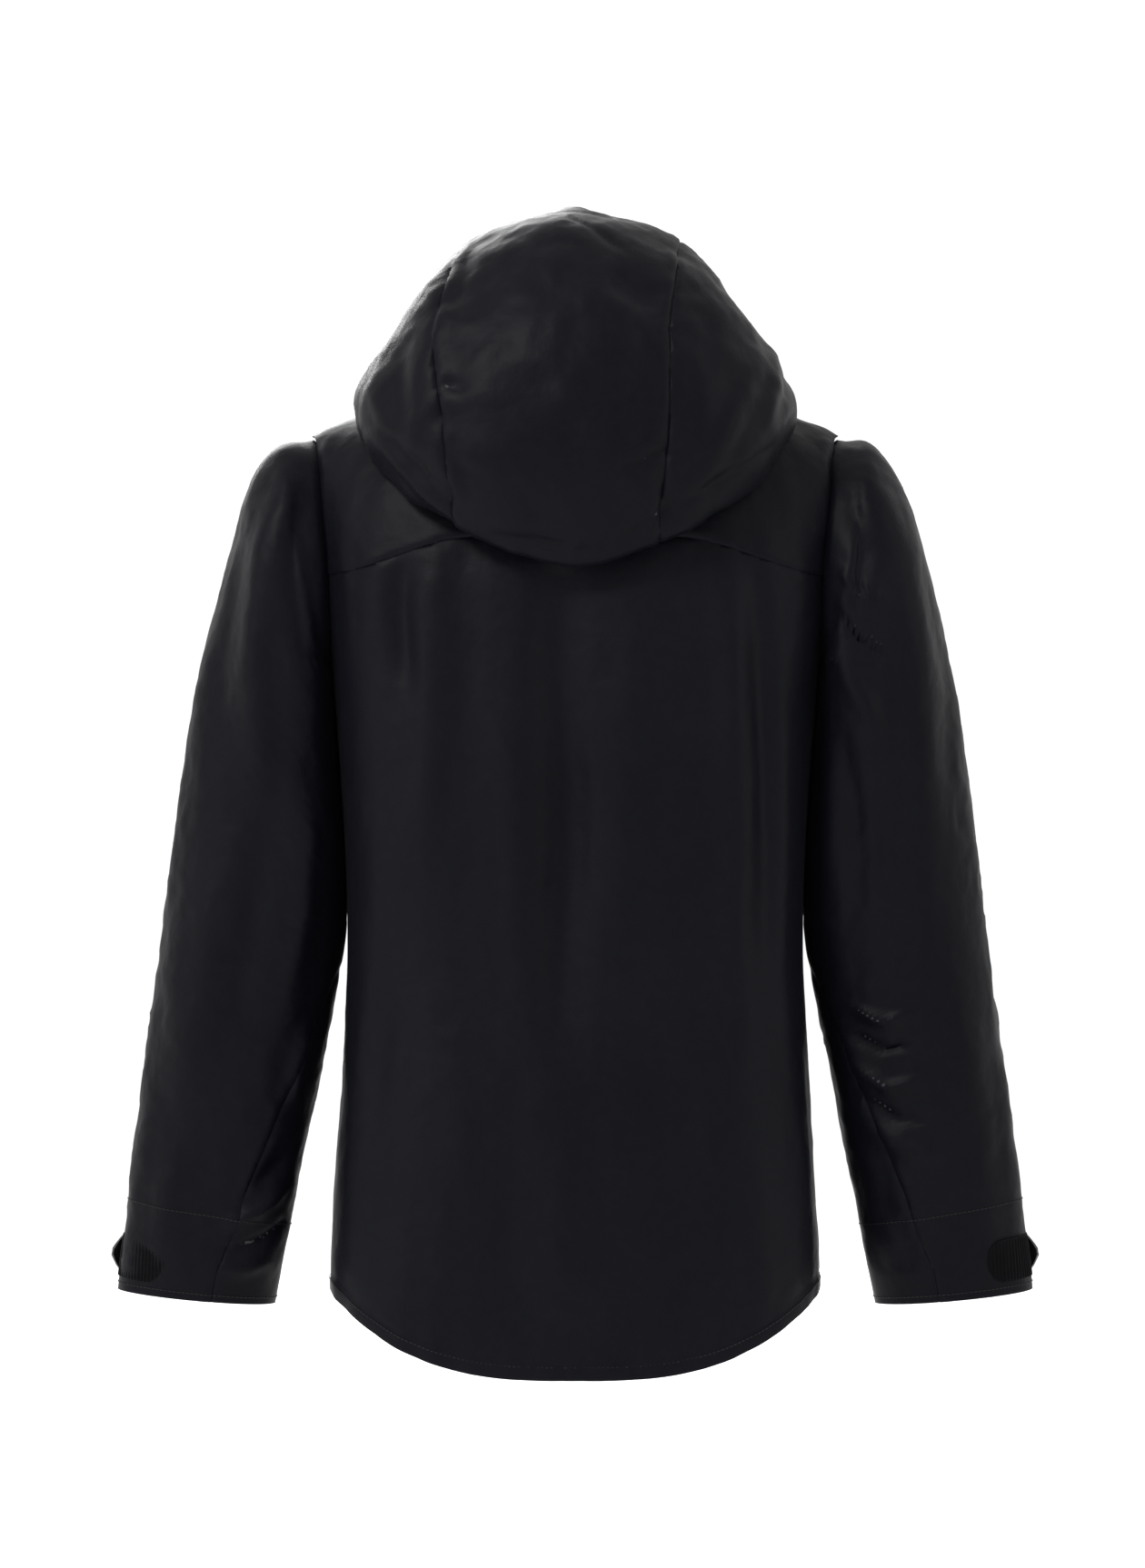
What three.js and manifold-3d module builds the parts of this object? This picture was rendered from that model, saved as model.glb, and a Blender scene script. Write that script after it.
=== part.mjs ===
// Hooded hardshell jacket, hood up and sleeves hanging, millimetres, +Z up.
// The jacket's front faces -Y and the wearer's left is +X. Heights below are measured from the lowest
// point of the back hem, and the last lines move the whole jacket so that its origin is the underside
// of the hang loop's bar, which is where a hook holds it.
import * as THREE from 'three';
import { mergeVertices } from 'three/addons/utils/BufferGeometryUtils.js';
import Module from 'manifold-3d';

const wasm = await Module();
wasm.setup();

// ---------------------------------------------------------------- driving dimensions
const fabric = 1.6;            // three-layer fabric with its seam tape
const seamGap = 0.4;           // clearance at every seam
const cutTolerance = 0.01;     // slivers thinner than this are closed after a cut
const neckGap = 2.6;           // how far the hood's neck edge stands inside the neck opening
const roundness = 3;           // body section: 2 is an ellipse, larger is boxier

const hemHalfWidth = 181;
const waistHalfWidth = 169.5;
const chestHalfWidth = 180;
const shoulderHalfWidth = 204;
const waistHeight = 311;
const armpitHeight = 506;
const backDepth = 118;         // centre line to the back at the chest
const hemFrontDepth = 128;     // centre line to the zip at the hem
const chinFrontDepth = 110;    // centre line to the zip at the chin
const chinHeight = 742;
const hemSideRise = 58;        // the drop tail: how far the side hem is above the back hem
const yokeSeamHeight = 592;
const domeStart = 560;         // above this the body closes towards the shoulder line
const neckPointHeight = 734;   // shoulder line at the side of the neck
const neckHalfWidth = 86;
const neckBackDepth = 75;
const frontNeckHeight = 655;
const shoulderSlope = 0.385;
const shoulderSideHeight = 700;  // about where the shoulder line reaches the body's side

const armholeHalfHeight = 93;
const armholeHalfDepth = 70;
const armholeClearance = 4;      // round a sleeve's head, inside its armhole
const sideShare = 0.55;          // the share of the body's v that lies under the shoulders
const cuffOuter = new THREE.Vector2(343, 53);
const cuffHalfWidth = 59;
const cuffHalfDepth = 41;
const sleeveHalfDepth = 75;
const sleeveForward = 16;      // how far the cuff hangs in front of the shoulder
const underSeamTop = new THREE.Vector2(170, 312);
const underSeamCuff = new THREE.Vector2(270, 46);

const hoodTop = 861;
const hoodPanelHalfWidth = 80;
const faceHalfWidth = 70;
const faceLow = 748;
const faceHigh = 838;
const brimReach = 34;

const zipHalfWidth = 9.6;      // tape edge to the centre of the chain
const zipChannel = 10.2;       // half-width that the panels leave for the tape
const slitHalf = 0.7;          // half the slit between the two rows of teeth
const tapeThick = 1.2;
const chainHalfWidth = 3;
const chainThick = 2.8;
const zipBottom = 66;

const pocketX = 112;
const pocketZipLow = 178;
const pocketZipHigh = 330;
const cordRadius = 1.4;
const hemBandHeight = 24;
const lockRadius = 6.5;
const lockHeight = 15;
const lockSpare = 3.6;         // from a cord lock to the fabric behind it
const boreHeight = 8.6;        // cord bore above the lock's base
const buttonTravel = 2.6;
const hemLockX = 42;
const tabTip = 19;             // free tip of the cuff tab
const slideGap = 0.4;          // running clearance of sliders, pins and pulls
const sliderHalfWidth = 5.2;
const sliderLength = 20;
const plateThick = 1.6;
const pinRadius = 0.8;
const pinY = -6.2;             // pull pin in front of the zip's plane
const pullHalfWidth = 1.8;
const pullLength = 38;
const flapDepth = 7.2;
const bagDepth = 7;            // from the body's outside to the pocket bag
const bagSpace = 12;
const loopHalfWidth = 14;
const loopThick = 1.4;
const loopWidth = 8;
const loopHeight = 738;
const loopBack = 66.5;

// ---------------------------------------------------------------- small helpers
const lerp = THREE.MathUtils.lerp;
const clamp = THREE.MathUtils.clamp;

function smooth(edge0, edge1, x) {
  return THREE.MathUtils.smoothstep(x, edge0, edge1);
}

// A smooth line through [height, value] pairs, read by height.
function heightLine(pairs) {
  const curve = new THREE.SplineCurve(pairs.map(([h, value]) => new THREE.Vector2(h, value)));
  return (height) => {
    let low = 0;
    let high = 1;
    for (let i = 0; i < 26; i += 1) {
      const mid = (low + high) / 2;
      if (curve.getPoint(mid).x < height) low = mid;
      else high = mid;
    }
    return curve.getPoint((low + high) / 2).y;
  };
}

function colourOf(hex, roughness, metalness = 0) {
  return new THREE.MeshStandardMaterial({ color: hex, roughness, metalness, side: THREE.DoubleSide });
}

const looks = {
  shell: () => colourOf(0x18191f, 0.62),
  lining: () => colourOf(0x2b2c31, 0.8),
  tape: () => colourOf(0x101114, 0.55),
  plastic: () => colourOf(0x141416, 0.45),
  metal: () => colourOf(0x3a3b3e, 0.35, 0.9),
  velcro: () => colourOf(0x0d0d0f, 0.95),
  cord: () => colourOf(0x1c1d20, 0.75),
};

const group = new THREE.Group();

function add(name, geometry, look, parent = group) {
  const mesh = new THREE.Mesh(geometry, looks[look]());
  mesh.name = name;
  parent.add(mesh);
  return mesh;
}

// ---------------------------------------------------------------- solids
function solidOf(geometry) {
  const bare = geometry.clone();
  bare.deleteAttribute('normal');
  bare.deleteAttribute('uv');
  const merged = mergeVertices(bare, 1e-4);
  return new wasm.Manifold(new wasm.Mesh({
    numProp: 3,
    vertProperties: new Float32Array(merged.attributes.position.array),
    triVerts: new Uint32Array(merged.index.array),
  }));
}

// The largest piece of a cut solid, which leaves out the crumbs that a cut can shed.
function mainPiece(solid) {
  return solid.decompose().reduce((best, piece) => (piece.volume() > best.volume() ? piece : best));
}

function geometryOf(solid) {
  const mesh = mainPiece(solid.simplify(cutTolerance)).getMesh();
  const geometry = new THREE.BufferGeometry();
  geometry.setAttribute('position', new THREE.BufferAttribute(mesh.vertProperties, 3));
  geometry.setIndex(new THREE.BufferAttribute(mesh.triVerts, 1));
  return geometry;
}

function boxSolid(low, high) {
  const size = [high[0] - low[0], high[1] - low[1], high[2] - low[2]];
  const box = new THREE.BoxGeometry(...size);
  box.translate((low[0] + high[0]) / 2, (low[1] + high[1]) / 2, (low[2] + high[2]) / 2);
  return solidOf(box);
}

// A closed solid from rows of points: outer rows first, then the same rows of the inner face. A closed wall
// joins its last column to its first, and a capped one closes both faces over the last row.
function wallGeometry(outer, inner, closed, capped = false) {
  const rows = outer.length;
  const columns = outer[0].length;
  const positions = [];
  for (const face of [outer, inner]) {
    for (const row of face) {
      for (const point of row) positions.push(point.x, point.y, point.z);
    }
  }
  const index = [];
  const at = (face, row, column) => face * rows * columns + row * columns + (column % columns);
  const quad = (a, b, c, d) => index.push(a, b, c, a, c, d);
  const spans = closed ? columns : columns - 1;
  for (let r = 0; r < rows - 1; r += 1) {
    for (let c = 0; c < spans; c += 1) {
      quad(at(0, r, c), at(0, r, c + 1), at(0, r + 1, c + 1), at(0, r + 1, c));
      quad(at(1, r, c), at(1, r + 1, c), at(1, r + 1, c + 1), at(1, r, c + 1));
    }
  }
  for (let c = 0; c < spans; c += 1) {
    quad(at(0, 0, c), at(1, 0, c), at(1, 0, c + 1), at(0, 0, c + 1));
    if (!capped) quad(at(0, rows - 1, c), at(0, rows - 1, c + 1), at(1, rows - 1, c + 1), at(1, rows - 1, c));
  }
  if (capped) {
    for (const [face, row] of [[0, outer[rows - 1]], [1, inner[rows - 1]]]) {
      const tip = row.reduce((sum, point) => sum.add(point), new THREE.Vector3()).divideScalar(columns);
      positions.push(tip.x, tip.y, tip.z);
      for (let c = 0; c < columns; c += 1) {
        const [a, b] = [at(face, rows - 1, c), at(face, rows - 1, c + 1)];
        index.push(2 * rows * columns + face, face ? b : a, face ? a : b);
      }
    }
  }
  if (!closed) {
    for (let r = 0; r < rows - 1; r += 1) {
      const last = columns - 1;
      quad(at(0, r, 0), at(0, r + 1, 0), at(1, r + 1, 0), at(1, r, 0));
      quad(at(0, r, last), at(1, r, last), at(1, r + 1, last), at(0, r + 1, last));
    }
  }
  const geometry = new THREE.BufferGeometry();
  geometry.setAttribute('position', new THREE.Float32BufferAttribute(positions, 3));
  geometry.setIndex(index);
  return facingOut(geometry);
}

function facingOut(geometry) {
  const p = geometry.attributes.position;
  const index = geometry.index.array;
  const [a, b, c] = [new THREE.Vector3(), new THREE.Vector3(), new THREE.Vector3()];
  let volume = 0;
  for (let i = 0; i < index.length; i += 3) {
    a.fromBufferAttribute(p, index[i]);
    b.fromBufferAttribute(p, index[i + 1]);
    c.fromBufferAttribute(p, index[i + 2]);
    volume += a.dot(b.cross(c));
  }
  if (volume < 0) {
    for (let i = 0; i < index.length; i += 3) [index[i], index[i + 1]] = [index[i + 1], index[i]];
  }
  return geometry;
}

// The point `depth` below the surface point(u, v), along the normal that its slopes give. `turn` is 1 where
// u, v and outwards make a right-handed set, or else -1. A negative depth stands proud of the surface.
function sunkPoint(point, turn, u, v, depth) {
  const step = 1e-3;
  const here = point(u, v);
  const alongU = point(u + step, v).sub(point(u - step, v));
  const alongV = point(u, Math.min(v + step, 1)).sub(point(u, Math.max(v - step, 0)));
  return here.addScaledVector(alongU.cross(alongV).normalize(), -depth * turn);
}

// A wall of a surface between two depths below it.
function surfaceWall(point, turn, us, vs, near, far, closed = false, capped = false) {
  const face = (depth) => vs.map((v) => us.map((u) => sunkPoint(point, turn, u, v, depth)));
  return solidOf(wallGeometry(face(near), face(far), closed, capped));
}

function spread(from, to, count) {
  return Array.from({ length: count + 1 }, (_, i) => lerp(from, to, i / count));
}

// ---------------------------------------------------------------- body surface
const bodyHalfWidth = heightLine([
  [0, hemHalfWidth - 5],
  [80, hemHalfWidth],
  [waistHeight, waistHalfWidth],
  [armpitHeight, chestHalfWidth],
  [650, shoulderHalfWidth - 7],
  [770, shoulderHalfWidth],
]);

function frontDepth(height) {
  return lerp(hemFrontDepth, chinFrontDepth, height / chinHeight);
}

function backDepthAt(height) {
  return backDepth + 4 * smooth(200, 0, height) - 6 * smooth(150, 300, height) * smooth(500, 350, height);
}

// Height of the shoulder line above a point x across; over the neck it is only an aid for the curve.
function shoulderLine(x, front) {
  const across = Math.abs(x);
  const line = neckPointHeight - shoulderSlope * (across - neckHalfWidth);
  const overNeck = Math.max(0, neckHalfWidth - 30 - across);
  return front ? line + 5 * overNeck : line;
}

// Share of its full depth that the body still has at a height, which falls to nothing at the shoulder line.
function domeShare(x, height, front) {
  const q = (height - domeStart) / (shoulderLine(x, front) - domeStart);
  if (q <= 0) return 1;
  return Math.sqrt(Math.max(0, 1 - q * q));
}

// Body point: u turns round it (0 is the left side, 0.25 the back, 0.75 the front) and v climbs it.
function bodyPoint(u, v) {
  const angle = u * 2 * Math.PI;
  const front = Math.sin(angle) < 0;
  const share = (x) => Math.sign(x) * Math.abs(x) ** (2 / roundness);
  const across = share(Math.cos(angle));
  const hem = front ? hemSideRise : hemSideRise * Math.abs(across) ** 3;
  const turn = Math.max(0, (v - sideShare) / (1 - sideShare)) * (Math.PI / 2);
  const straight = lerp(hem, domeStart, Math.min(1, v / sideShare));
  const x = bodyHalfWidth(lerp(straight, shoulderSideHeight, Math.sin(turn))) * across;
  const height = lerp(straight, shoulderLine(x, front), Math.sin(turn));
  const depth = front ? frontDepth(height) : backDepthAt(height);
  return new THREE.Vector3(x, depth * share(Math.sin(angle)) * Math.cos(turn), height);
}

const bodyTurn = 1;

// How far out the body's side reaches at a depth y and a height, which is where the sleeve starts.
function sideReach(y, height) {
  let low = 60;
  let high = shoulderHalfWidth + 4;
  for (let i = 0; i < 24; i += 1) {
    const x = (low + high) / 2;
    const full = bodyHalfWidth(Math.min(740, height));
    const rest = Math.max(0, 1 - (x / full) ** roundness) ** (1 / roundness);
    const depth = (y < 0 ? frontDepth(height) : backDepthAt(height)) * rest * domeShare(x, height, y < 0);
    if (height < shoulderLine(x, false) && depth > Math.abs(y)) low = x;
    else high = x;
  }
  return low;
}

// ---------------------------------------------------------------- cutters
const armholeCentre = armpitHeight + armholeHalfHeight;

function armholeCutter(side) {
  const drum = new THREE.CylinderGeometry(1, 1, 240, 48);
  drum.rotateZ(Math.PI / 2);
  drum.scale(1, armholeHalfDepth, armholeHalfHeight);
  drum.translate(side * 240, 0, armholeCentre);
  return solidOf(drum);
}

// Outline of the neck opening: radius and height at an angle from the back (0) to the front (pi).
function neckRing(angle, spare) {
  const back = Math.max(0, Math.cos(angle));
  const front = Math.max(0, -Math.cos(angle)) ** 1.6;
  const sideways = Math.abs(Math.sin(angle));
  const radius = lerp(lerp(neckHalfWidth, neckBackDepth, back), frontDepth(frontNeckHeight), front);
  const height = lerp(neckPointHeight, frontNeckHeight, front) - 4 * sideways * (1 - front);
  return { radius: radius + spare, height };
}

function neckCutter() {
  const angles = spread(0, 2 * Math.PI, 48).slice(0, -1);
  const ring = (grow, lift) => angles.map((angle) => {
    const front = Math.max(0, -Math.cos(angle)) ** 1.6;
    const { radius, height } = neckRing(angle, 0);
    const r = Math.max(1, radius + lerp(grow * 0.15, grow, front));
    return new THREE.Vector3(r * Math.sin(angle), r * Math.cos(angle), height + lift * lerp(1, 0.12, front));
  });
  const rows = [ring(-14, -60), ring(0, 0), ring(50, 60), ring(50, 400)];
  const low = new THREE.Vector3(0, 0, 560);
  const high = new THREE.Vector3(0, 0, 1300);
  const positions = [];
  for (const point of [...rows.flat(), low, high]) positions.push(point.x, point.y, point.z);
  const count = angles.length;
  const index = [];
  for (let r = 0; r < rows.length - 1; r += 1) {
    for (let c = 0; c < count; c += 1) {
      const next = (c + 1) % count;
      index.push(r * count + c, r * count + next, (r + 1) * count + next);
      index.push(r * count + c, (r + 1) * count + next, (r + 1) * count + c);
    }
  }
  const lowAt = rows.length * count;
  for (let c = 0; c < count; c += 1) {
    const next = (c + 1) % count;
    index.push(lowAt, next, c);
    index.push(lowAt + 1, (rows.length - 1) * count + c, (rows.length - 1) * count + next);
  }
  const geometry = new THREE.BufferGeometry();
  geometry.setAttribute('position', new THREE.Float32BufferAttribute(positions, 3));
  geometry.setIndex(index);
  return solidOf(facingOut(geometry));
}

// ---------------------------------------------------------------- pocket place
function frontPointAt(x, height) {
  const full = bodyHalfWidth(height);
  const rest = (1 - (Math.abs(x) / full) ** roundness) ** (1 / roundness);
  return new THREE.Vector3(x, -frontDepth(height) * rest, height);
}

// The frame of one hand-pocket zip: x across it, y into the jacket and z up along it.
function pocketFrame(side) {
  const low = frontPointAt(side * (pocketX + 9), pocketZipLow);
  const high = frontPointAt(side * pocketX, pocketZipHigh);
  const centre = low.clone().add(high).multiplyScalar(0.5);
  const up = high.clone().sub(low).normalize();
  const near = frontPointAt(centre.x - 5, centre.z);
  const far = frontPointAt(centre.x + 5, centre.z);
  const across = far.sub(near).normalize();
  const inward = new THREE.Vector3().crossVectors(up, across).normalize();
  const trueAcross = new THREE.Vector3().crossVectors(inward, up).normalize();
  const matrix = new THREE.Matrix4().makeBasis(trueAcross, inward, up);
  matrix.setPosition(centre);
  return { matrix, length: high.distanceTo(low) };
}

function placedBox(low, high, matrix) {
  const box = new THREE.BoxGeometry(high[0] - low[0], high[1] - low[1], high[2] - low[2]);
  box.translate((low[0] + high[0]) / 2, (low[1] + high[1]) / 2, (low[2] + high[2]) / 2);
  box.applyMatrix4(matrix);
  return solidOf(box);
}

// ---------------------------------------------------------------- body panels
function bodyPanels() {
  const columns = spread(0, 1, 20);
  const rows = spread(0, 1, 13);
  const wall = (from) => surfaceWall(
    bodyPoint, bodyTurn, columns.map((c) => from + 0.00001 + c * 0.49998), rows, 0, fabric,
  );
  const half = seamGap / 2;
  const neck = neckCutter();
  const holes = armholeCutter(1).add(armholeCutter(-1));
  const trim = (solid, low, high) => solid.subtract(neck).subtract(holes).intersect(boxSolid(low, high));
  const back = trim(wall(0), [-400, half, -50], [400, 400, 1400]);
  const front = trim(wall(0.5), [-400, -400, -50], [400, -half, 1400]);
  const belowYoke = boxSolid([-400, 0, -50], [400, 400, yokeSeamHeight - half]);
  add('back_panel', geometryOf(back.intersect(belowYoke)), 'shell');
  add('back_yoke', geometryOf(back.intersect(boxSolid([-400, 0, yokeSeamHeight + half], [400, 400, 1400]))), 'shell');
  for (const [name, side] of [['left', 1], ['right', -1]]) {
    const { matrix, length } = pocketFrame(side);
    const slot = placedBox([-zipHalfWidth - seamGap, -30, -length / 2 - seamGap],
      [zipHalfWidth + seamGap, 30, length / 2 + seamGap], matrix);
    const reach = side > 0 ? [zipChannel, 400] : [-400, -zipChannel];
    const panel = front.intersect(boxSolid([reach[0], -400, -50], [reach[1], 0, 1400])).subtract(slot);
    add(`front_panel_${name}`, geometryOf(panel), 'shell');
  }
}

// ---------------------------------------------------------------- hood and collar
// Hood outline at five angles from the back to the front, from the neck seam down and out to the rolled
// lower edge, up its outside and in to the crown. Each pair is [radius, height].
function hoodOutlines() {
  const back = neckRing(0, -neckGap);
  const corner = neckRing(Math.PI / 4, -neckGap);
  const sideways = neckRing(Math.PI / 2, -neckGap);
  const cheek = neckRing((3 * Math.PI) / 4, -neckGap);
  const front = neckRing(Math.PI, -neckGap / 3);
  const chin = chinFrontDepth;
  return [
    [[back.radius, back.height], [86, 748], [113, 682], [135, 588], [170, 650], [164, 752], [106, 834]],
    [[corner.radius, corner.height + 1], [92, 751], [138, 702], [161, 634], [184, 690], [158, 768], [98, 830]],
    [[sideways.radius, sideways.height + 2], [91, 752], [134, 738], [160, 716], [157, 729], [122, 772], [80, 826]],
    [[cheek.radius, cheek.height + 3], [99, 738], [122, 748], [140, 746], [140, 758], [120, 790], [84, 830]],
    [[front.radius, front.height + 1.5], [chin + 2, 690], [chin + 1, 725], [chin, 758], [chin, 788],
      [chin - 2, 818], [82, 848]],
  ];
}

const outlines = hoodOutlines();

// Hood point: u turns from the front (0) over the left side to the back (0.5) and round to the front.
function hoodPoint(u, v) {
  const turn = u * 2 * Math.PI - Math.PI;
  const angle = Math.atan2(Math.sin(turn), Math.cos(turn));
  const key = (Math.abs(angle) / Math.PI) * 4;
  const read = (i, k, part) => outlines[clamp(k < 0 ? -k : k > 4 ? 8 - k : k, 0, 4)][i][part];
  const k = Math.min(3, Math.floor(key));
  const f = key - k;
  const mix = (i, part) => {
    const [p0, p1, p2, p3] = [k - 1, k, k + 1, k + 2].map((n) => read(i, n, part));
    const m1 = (p2 - p0) / 2;
    const m2 = (p3 - p1) / 2;
    return (2 * f ** 3 - 3 * f * f + 1) * p1 + (f ** 3 - 2 * f * f + f) * m1
      + (3 * f * f - 2 * f ** 3) * p2 + (f ** 3 - f * f) * m2;
  };
  const points = outlines[0].map((_, i) => new THREE.Vector3(mix(i, 0), 0, mix(i, 1)));
  points.push(new THREE.Vector3(6, 0, hoodTop));
  const at = new THREE.CatmullRomCurve3(points, false, 'centripetal').getPoint(clamp(v, 0, 1));
  return new THREE.Vector3(at.x * Math.sin(angle), at.x * Math.cos(angle), at.z);
}

const hoodTurn = -1;

function faceCutter(grow) {
  const drum = new THREE.CylinderGeometry(1, 1, 300, 40);
  drum.scale(faceHalfWidth + grow, 1, (faceHigh - faceLow) / 2 + grow);
  drum.translate(0, -180, (faceHigh + faceLow) / 2);
  return solidOf(drum);
}

// Where the front of the hood stands at a place across and a height, by Newton's steps on its surface.
function hoodFront(x, height, depth) {
  let u = -Math.atan2(x, 110) / (2 * Math.PI);
  let v = 0.6;
  for (let i = 0; i < 12; i += 1) {
    const here = hoodPoint(u, v);
    const du = hoodPoint(u + 1e-3, v).sub(here).multiplyScalar(1e3);
    const dv = hoodPoint(u, v + 1e-3).sub(here).multiplyScalar(1e3);
    const det = du.x * dv.z - dv.x * du.z;
    const ex = x - here.x;
    const ez = height - here.z;
    u += (ex * dv.z - dv.x * ez) / det;
    v += (du.x * ez - ex * du.z) / det;
  }
  return sunkPoint(hoodPoint, hoodTurn, u, v, depth);
}

// A point of the face opening's edge, grown outwards by `grow`, at an angle from the wearer's left (0)
// over the brow (pi / 2), and sunk `depth` below the hood's surface.
function faceEdge(angle, grow, depth) {
  const x = (faceHalfWidth + grow) * Math.cos(angle);
  const z = (faceHigh + faceLow) / 2 + ((faceHigh - faceLow) / 2 + grow) * Math.sin(angle);
  return hoodFront(x, z, depth);
}

function hoodPanels() {
  const half = seamGap / 2;
  const us = spread(0, 1, 32).slice(0, -1);
  const vs = [0, 0.08, 0.17, 0.27, 0.36, 0.43, 0.5, 0.58, 0.66, 0.74, 0.82, 0.88, 0.94, 1];
  const shell = surfaceWall(hoodPoint, hoodTurn, us, vs, 0, fabric, true, true);
  const open = shell.subtract(faceCutter(0));
  const chest = boxSolid([-200, -400, 500], [200, -30, faceLow - 6]);
  const band = (low, high) => boxSolid([low, -400, 400], [high, 400, 1400]);
  const upper = open.subtract(boxSolid([-200, -400, 500], [200, -30 + seamGap, faceLow - 6 + seamGap]));
  const middle = band(half - hoodPanelHalfWidth, hoodPanelHalfWidth - half);
  add('hood_centre', geometryOf(upper.intersect(middle)), 'shell');
  for (const [name, side] of [['left', 1], ['right', -1]]) {
    const reach = side > 0 ? [hoodPanelHalfWidth + half, 400] : [-400, -hoodPanelHalfWidth - half];
    add(`hood_side_${name}`, geometryOf(upper.intersect(band(...reach))), 'shell');
    const front = side > 0 ? [zipChannel, 400] : [-400, -zipChannel];
    add(`collar_${name}`, geometryOf(open.intersect(chest).intersect(band(...front))), 'shell');
  }
}

function hoodTrim() {
  const turns = spread(0.06, Math.PI - 0.06, 28);
  const rows = (growths, depth) => growths.map((grow) => turns.map((turn) => faceEdge(turn, grow, depth)));
  const near = fabric + 2 * cordRadius + 3.4;
  const binding = wallGeometry(rows([2, 14], near), rows([2, 14], near + 1), false);
  add('hood_face_binding', binding, 'lining');
  const peak = spread(0.3, Math.PI - 0.3, 24);
  const bulge = (turn) => Math.max(0, Math.sin(((turn - 0.3) / (Math.PI - 0.6)) * Math.PI));
  const reach = (turn) => 2 + brimReach * bulge(turn) ** 0.7;
  const edge = (share, lift) => peak.map((turn) => {
    const root = faceEdge(turn, 3, -0.8);
    return root.add(new THREE.Vector3(0, -share * reach(turn), lift - 7 * share * Math.sin(turn)));
  });
  const above = [edge(0, 2.2), edge(0.5, 2.6), edge(1, 1.6)];
  const below = [edge(0, 0), edge(0.5, 0.4), edge(1, 0)];
  add('hood_brim', wallGeometry(above, below, false), 'shell');
}

// ---------------------------------------------------------------- tubes and small solids
function tube(points, radius, sides, steps) {
  const section = new THREE.Shape();
  for (let i = 0; i < sides; i += 1) {
    const turn = (i / sides) * 2 * Math.PI;
    const [x, y] = [radius * Math.cos(turn), radius * Math.sin(turn)];
    if (i === 0) section.moveTo(x, y);
    else section.lineTo(x, y);
  }
  section.closePath();
  const path = new THREE.CatmullRomCurve3(points, false, 'centripetal');
  return new THREE.ExtrudeGeometry(section, { steps, extrudePath: path, bevelEnabled: false });
}

// ---------------------------------------------------------------- sleeves
// The sleeve's outer and inner lines in the plane across the jacket, from the shoulder to the cuff.
function sleeveLines() {
  const shoulderTop = armholeCentre + armholeHalfHeight - armholeClearance;
  const top = new THREE.Vector2(sideReach(0, shoulderTop - 4) - 2, shoulderTop);
  const cuffInner = new THREE.Vector2(cuffOuter.x - 2 * cuffHalfWidth, cuffOuter.y - 11);
  const beside = (height) => new THREE.Vector2(bodyHalfWidth(height) + 2.2, height);
  const drop = cuffOuter.y;
  const run = cuffOuter.x;
  const outer = [top, [run - 118, 680], [run - 90, 628], [run - 59, 500],
    [run - 33, lerp(drop, 500, 0.57)], [run, drop]];
  const inner = [[sideReach(0, armpitHeight + 2) + 0.5, armpitHeight + armholeClearance], beside(484), beside(430),
    beside(345), [underSeamTop.x + 13, lerp(drop, 500, 0.46)], cuffInner];
  const curve = (list) => new THREE.CatmullRomCurve3(
    list.map((p) => (Array.isArray(p) ? new THREE.Vector3(p[0], 0, p[1]) : new THREE.Vector3(p.x, 0, p.y))),
    false, 'catmullrom', 0.5,
  );
  return { outer: curve(outer), inner: curve(inner) };
}

const lines = sleeveLines();
const sleeveHalfDepthAt = heightLine([
  [0, armholeHalfDepth - armholeClearance],
  [0.2, sleeveHalfDepth],
  [0.45, sleeveHalfDepth - 4],
  [0.75, sleeveHalfDepth - 17],
  [1, cuffHalfDepth],
]);

// Sleeve point of the wearer's left sleeve: u turns round it from its outer line over its back, and v
// goes from the armhole to the cuff.
function sleevePoint(u, v) {
  const outer = lines.outer.getPoint(clamp(v, 0, 1));
  const inner = lines.inner.getPoint(clamp(v, 0, 1));
  const centre = outer.clone().add(inner).multiplyScalar(0.5);
  const half = outer.clone().sub(inner).multiplyScalar(0.5);
  const turn = u * 2 * Math.PI;
  const point = centre.addScaledVector(half, Math.cos(turn));
  point.y = sleeveHalfDepthAt(v) * Math.sin(turn) - sleeveForward * v * v;
  const atArmhole = 1 - smooth(0.01, 0.13, v);
  const tuck = 3 * (1 - smooth(0, 0.02, v));
  if (atArmhole > 0) point.x = lerp(point.x, sideReach(point.y, point.z) + 0.3, atArmhole) - tuck;
  return point;
}

const sleeveTurn = -1;

function mirrored(geometry) {
  const copy = geometry.clone();
  copy.scale(-1, 1, 1);
  return facingOut(copy);
}

function addPair(name, geometry, look) {
  add(`${name}_left`, geometry, look);
  add(`${name}_right`, mirrored(geometry), look);
}

// Everything on the inner side of the straight under-sleeve seam, seen across the jacket.
function gussetCutter(shift) {
  const along = underSeamCuff.clone().sub(underSeamTop).normalize();
  const away = new THREE.Vector2(along.y, -along.x).multiplyScalar(along.y < 0 ? 1 : -1);
  const low = underSeamCuff.clone().addScaledVector(along, 200).addScaledVector(away, -shift);
  const high = underSeamTop.clone().addScaledVector(along, -20).addScaledVector(away, -shift);
  const [farHigh, farLow] = [high, low].map((end) => end.clone().addScaledVector(away, 300));
  const shape = new THREE.Shape([low, high, farHigh, farLow]);
  const block = new THREE.ExtrudeGeometry(shape, { depth: 400, bevelEnabled: false });
  block.rotateX(Math.PI / 2);
  block.translate(0, 200, 0);
  return solidOf(facingOut(block.index ? block : mergeVertices(block)));
}

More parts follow.
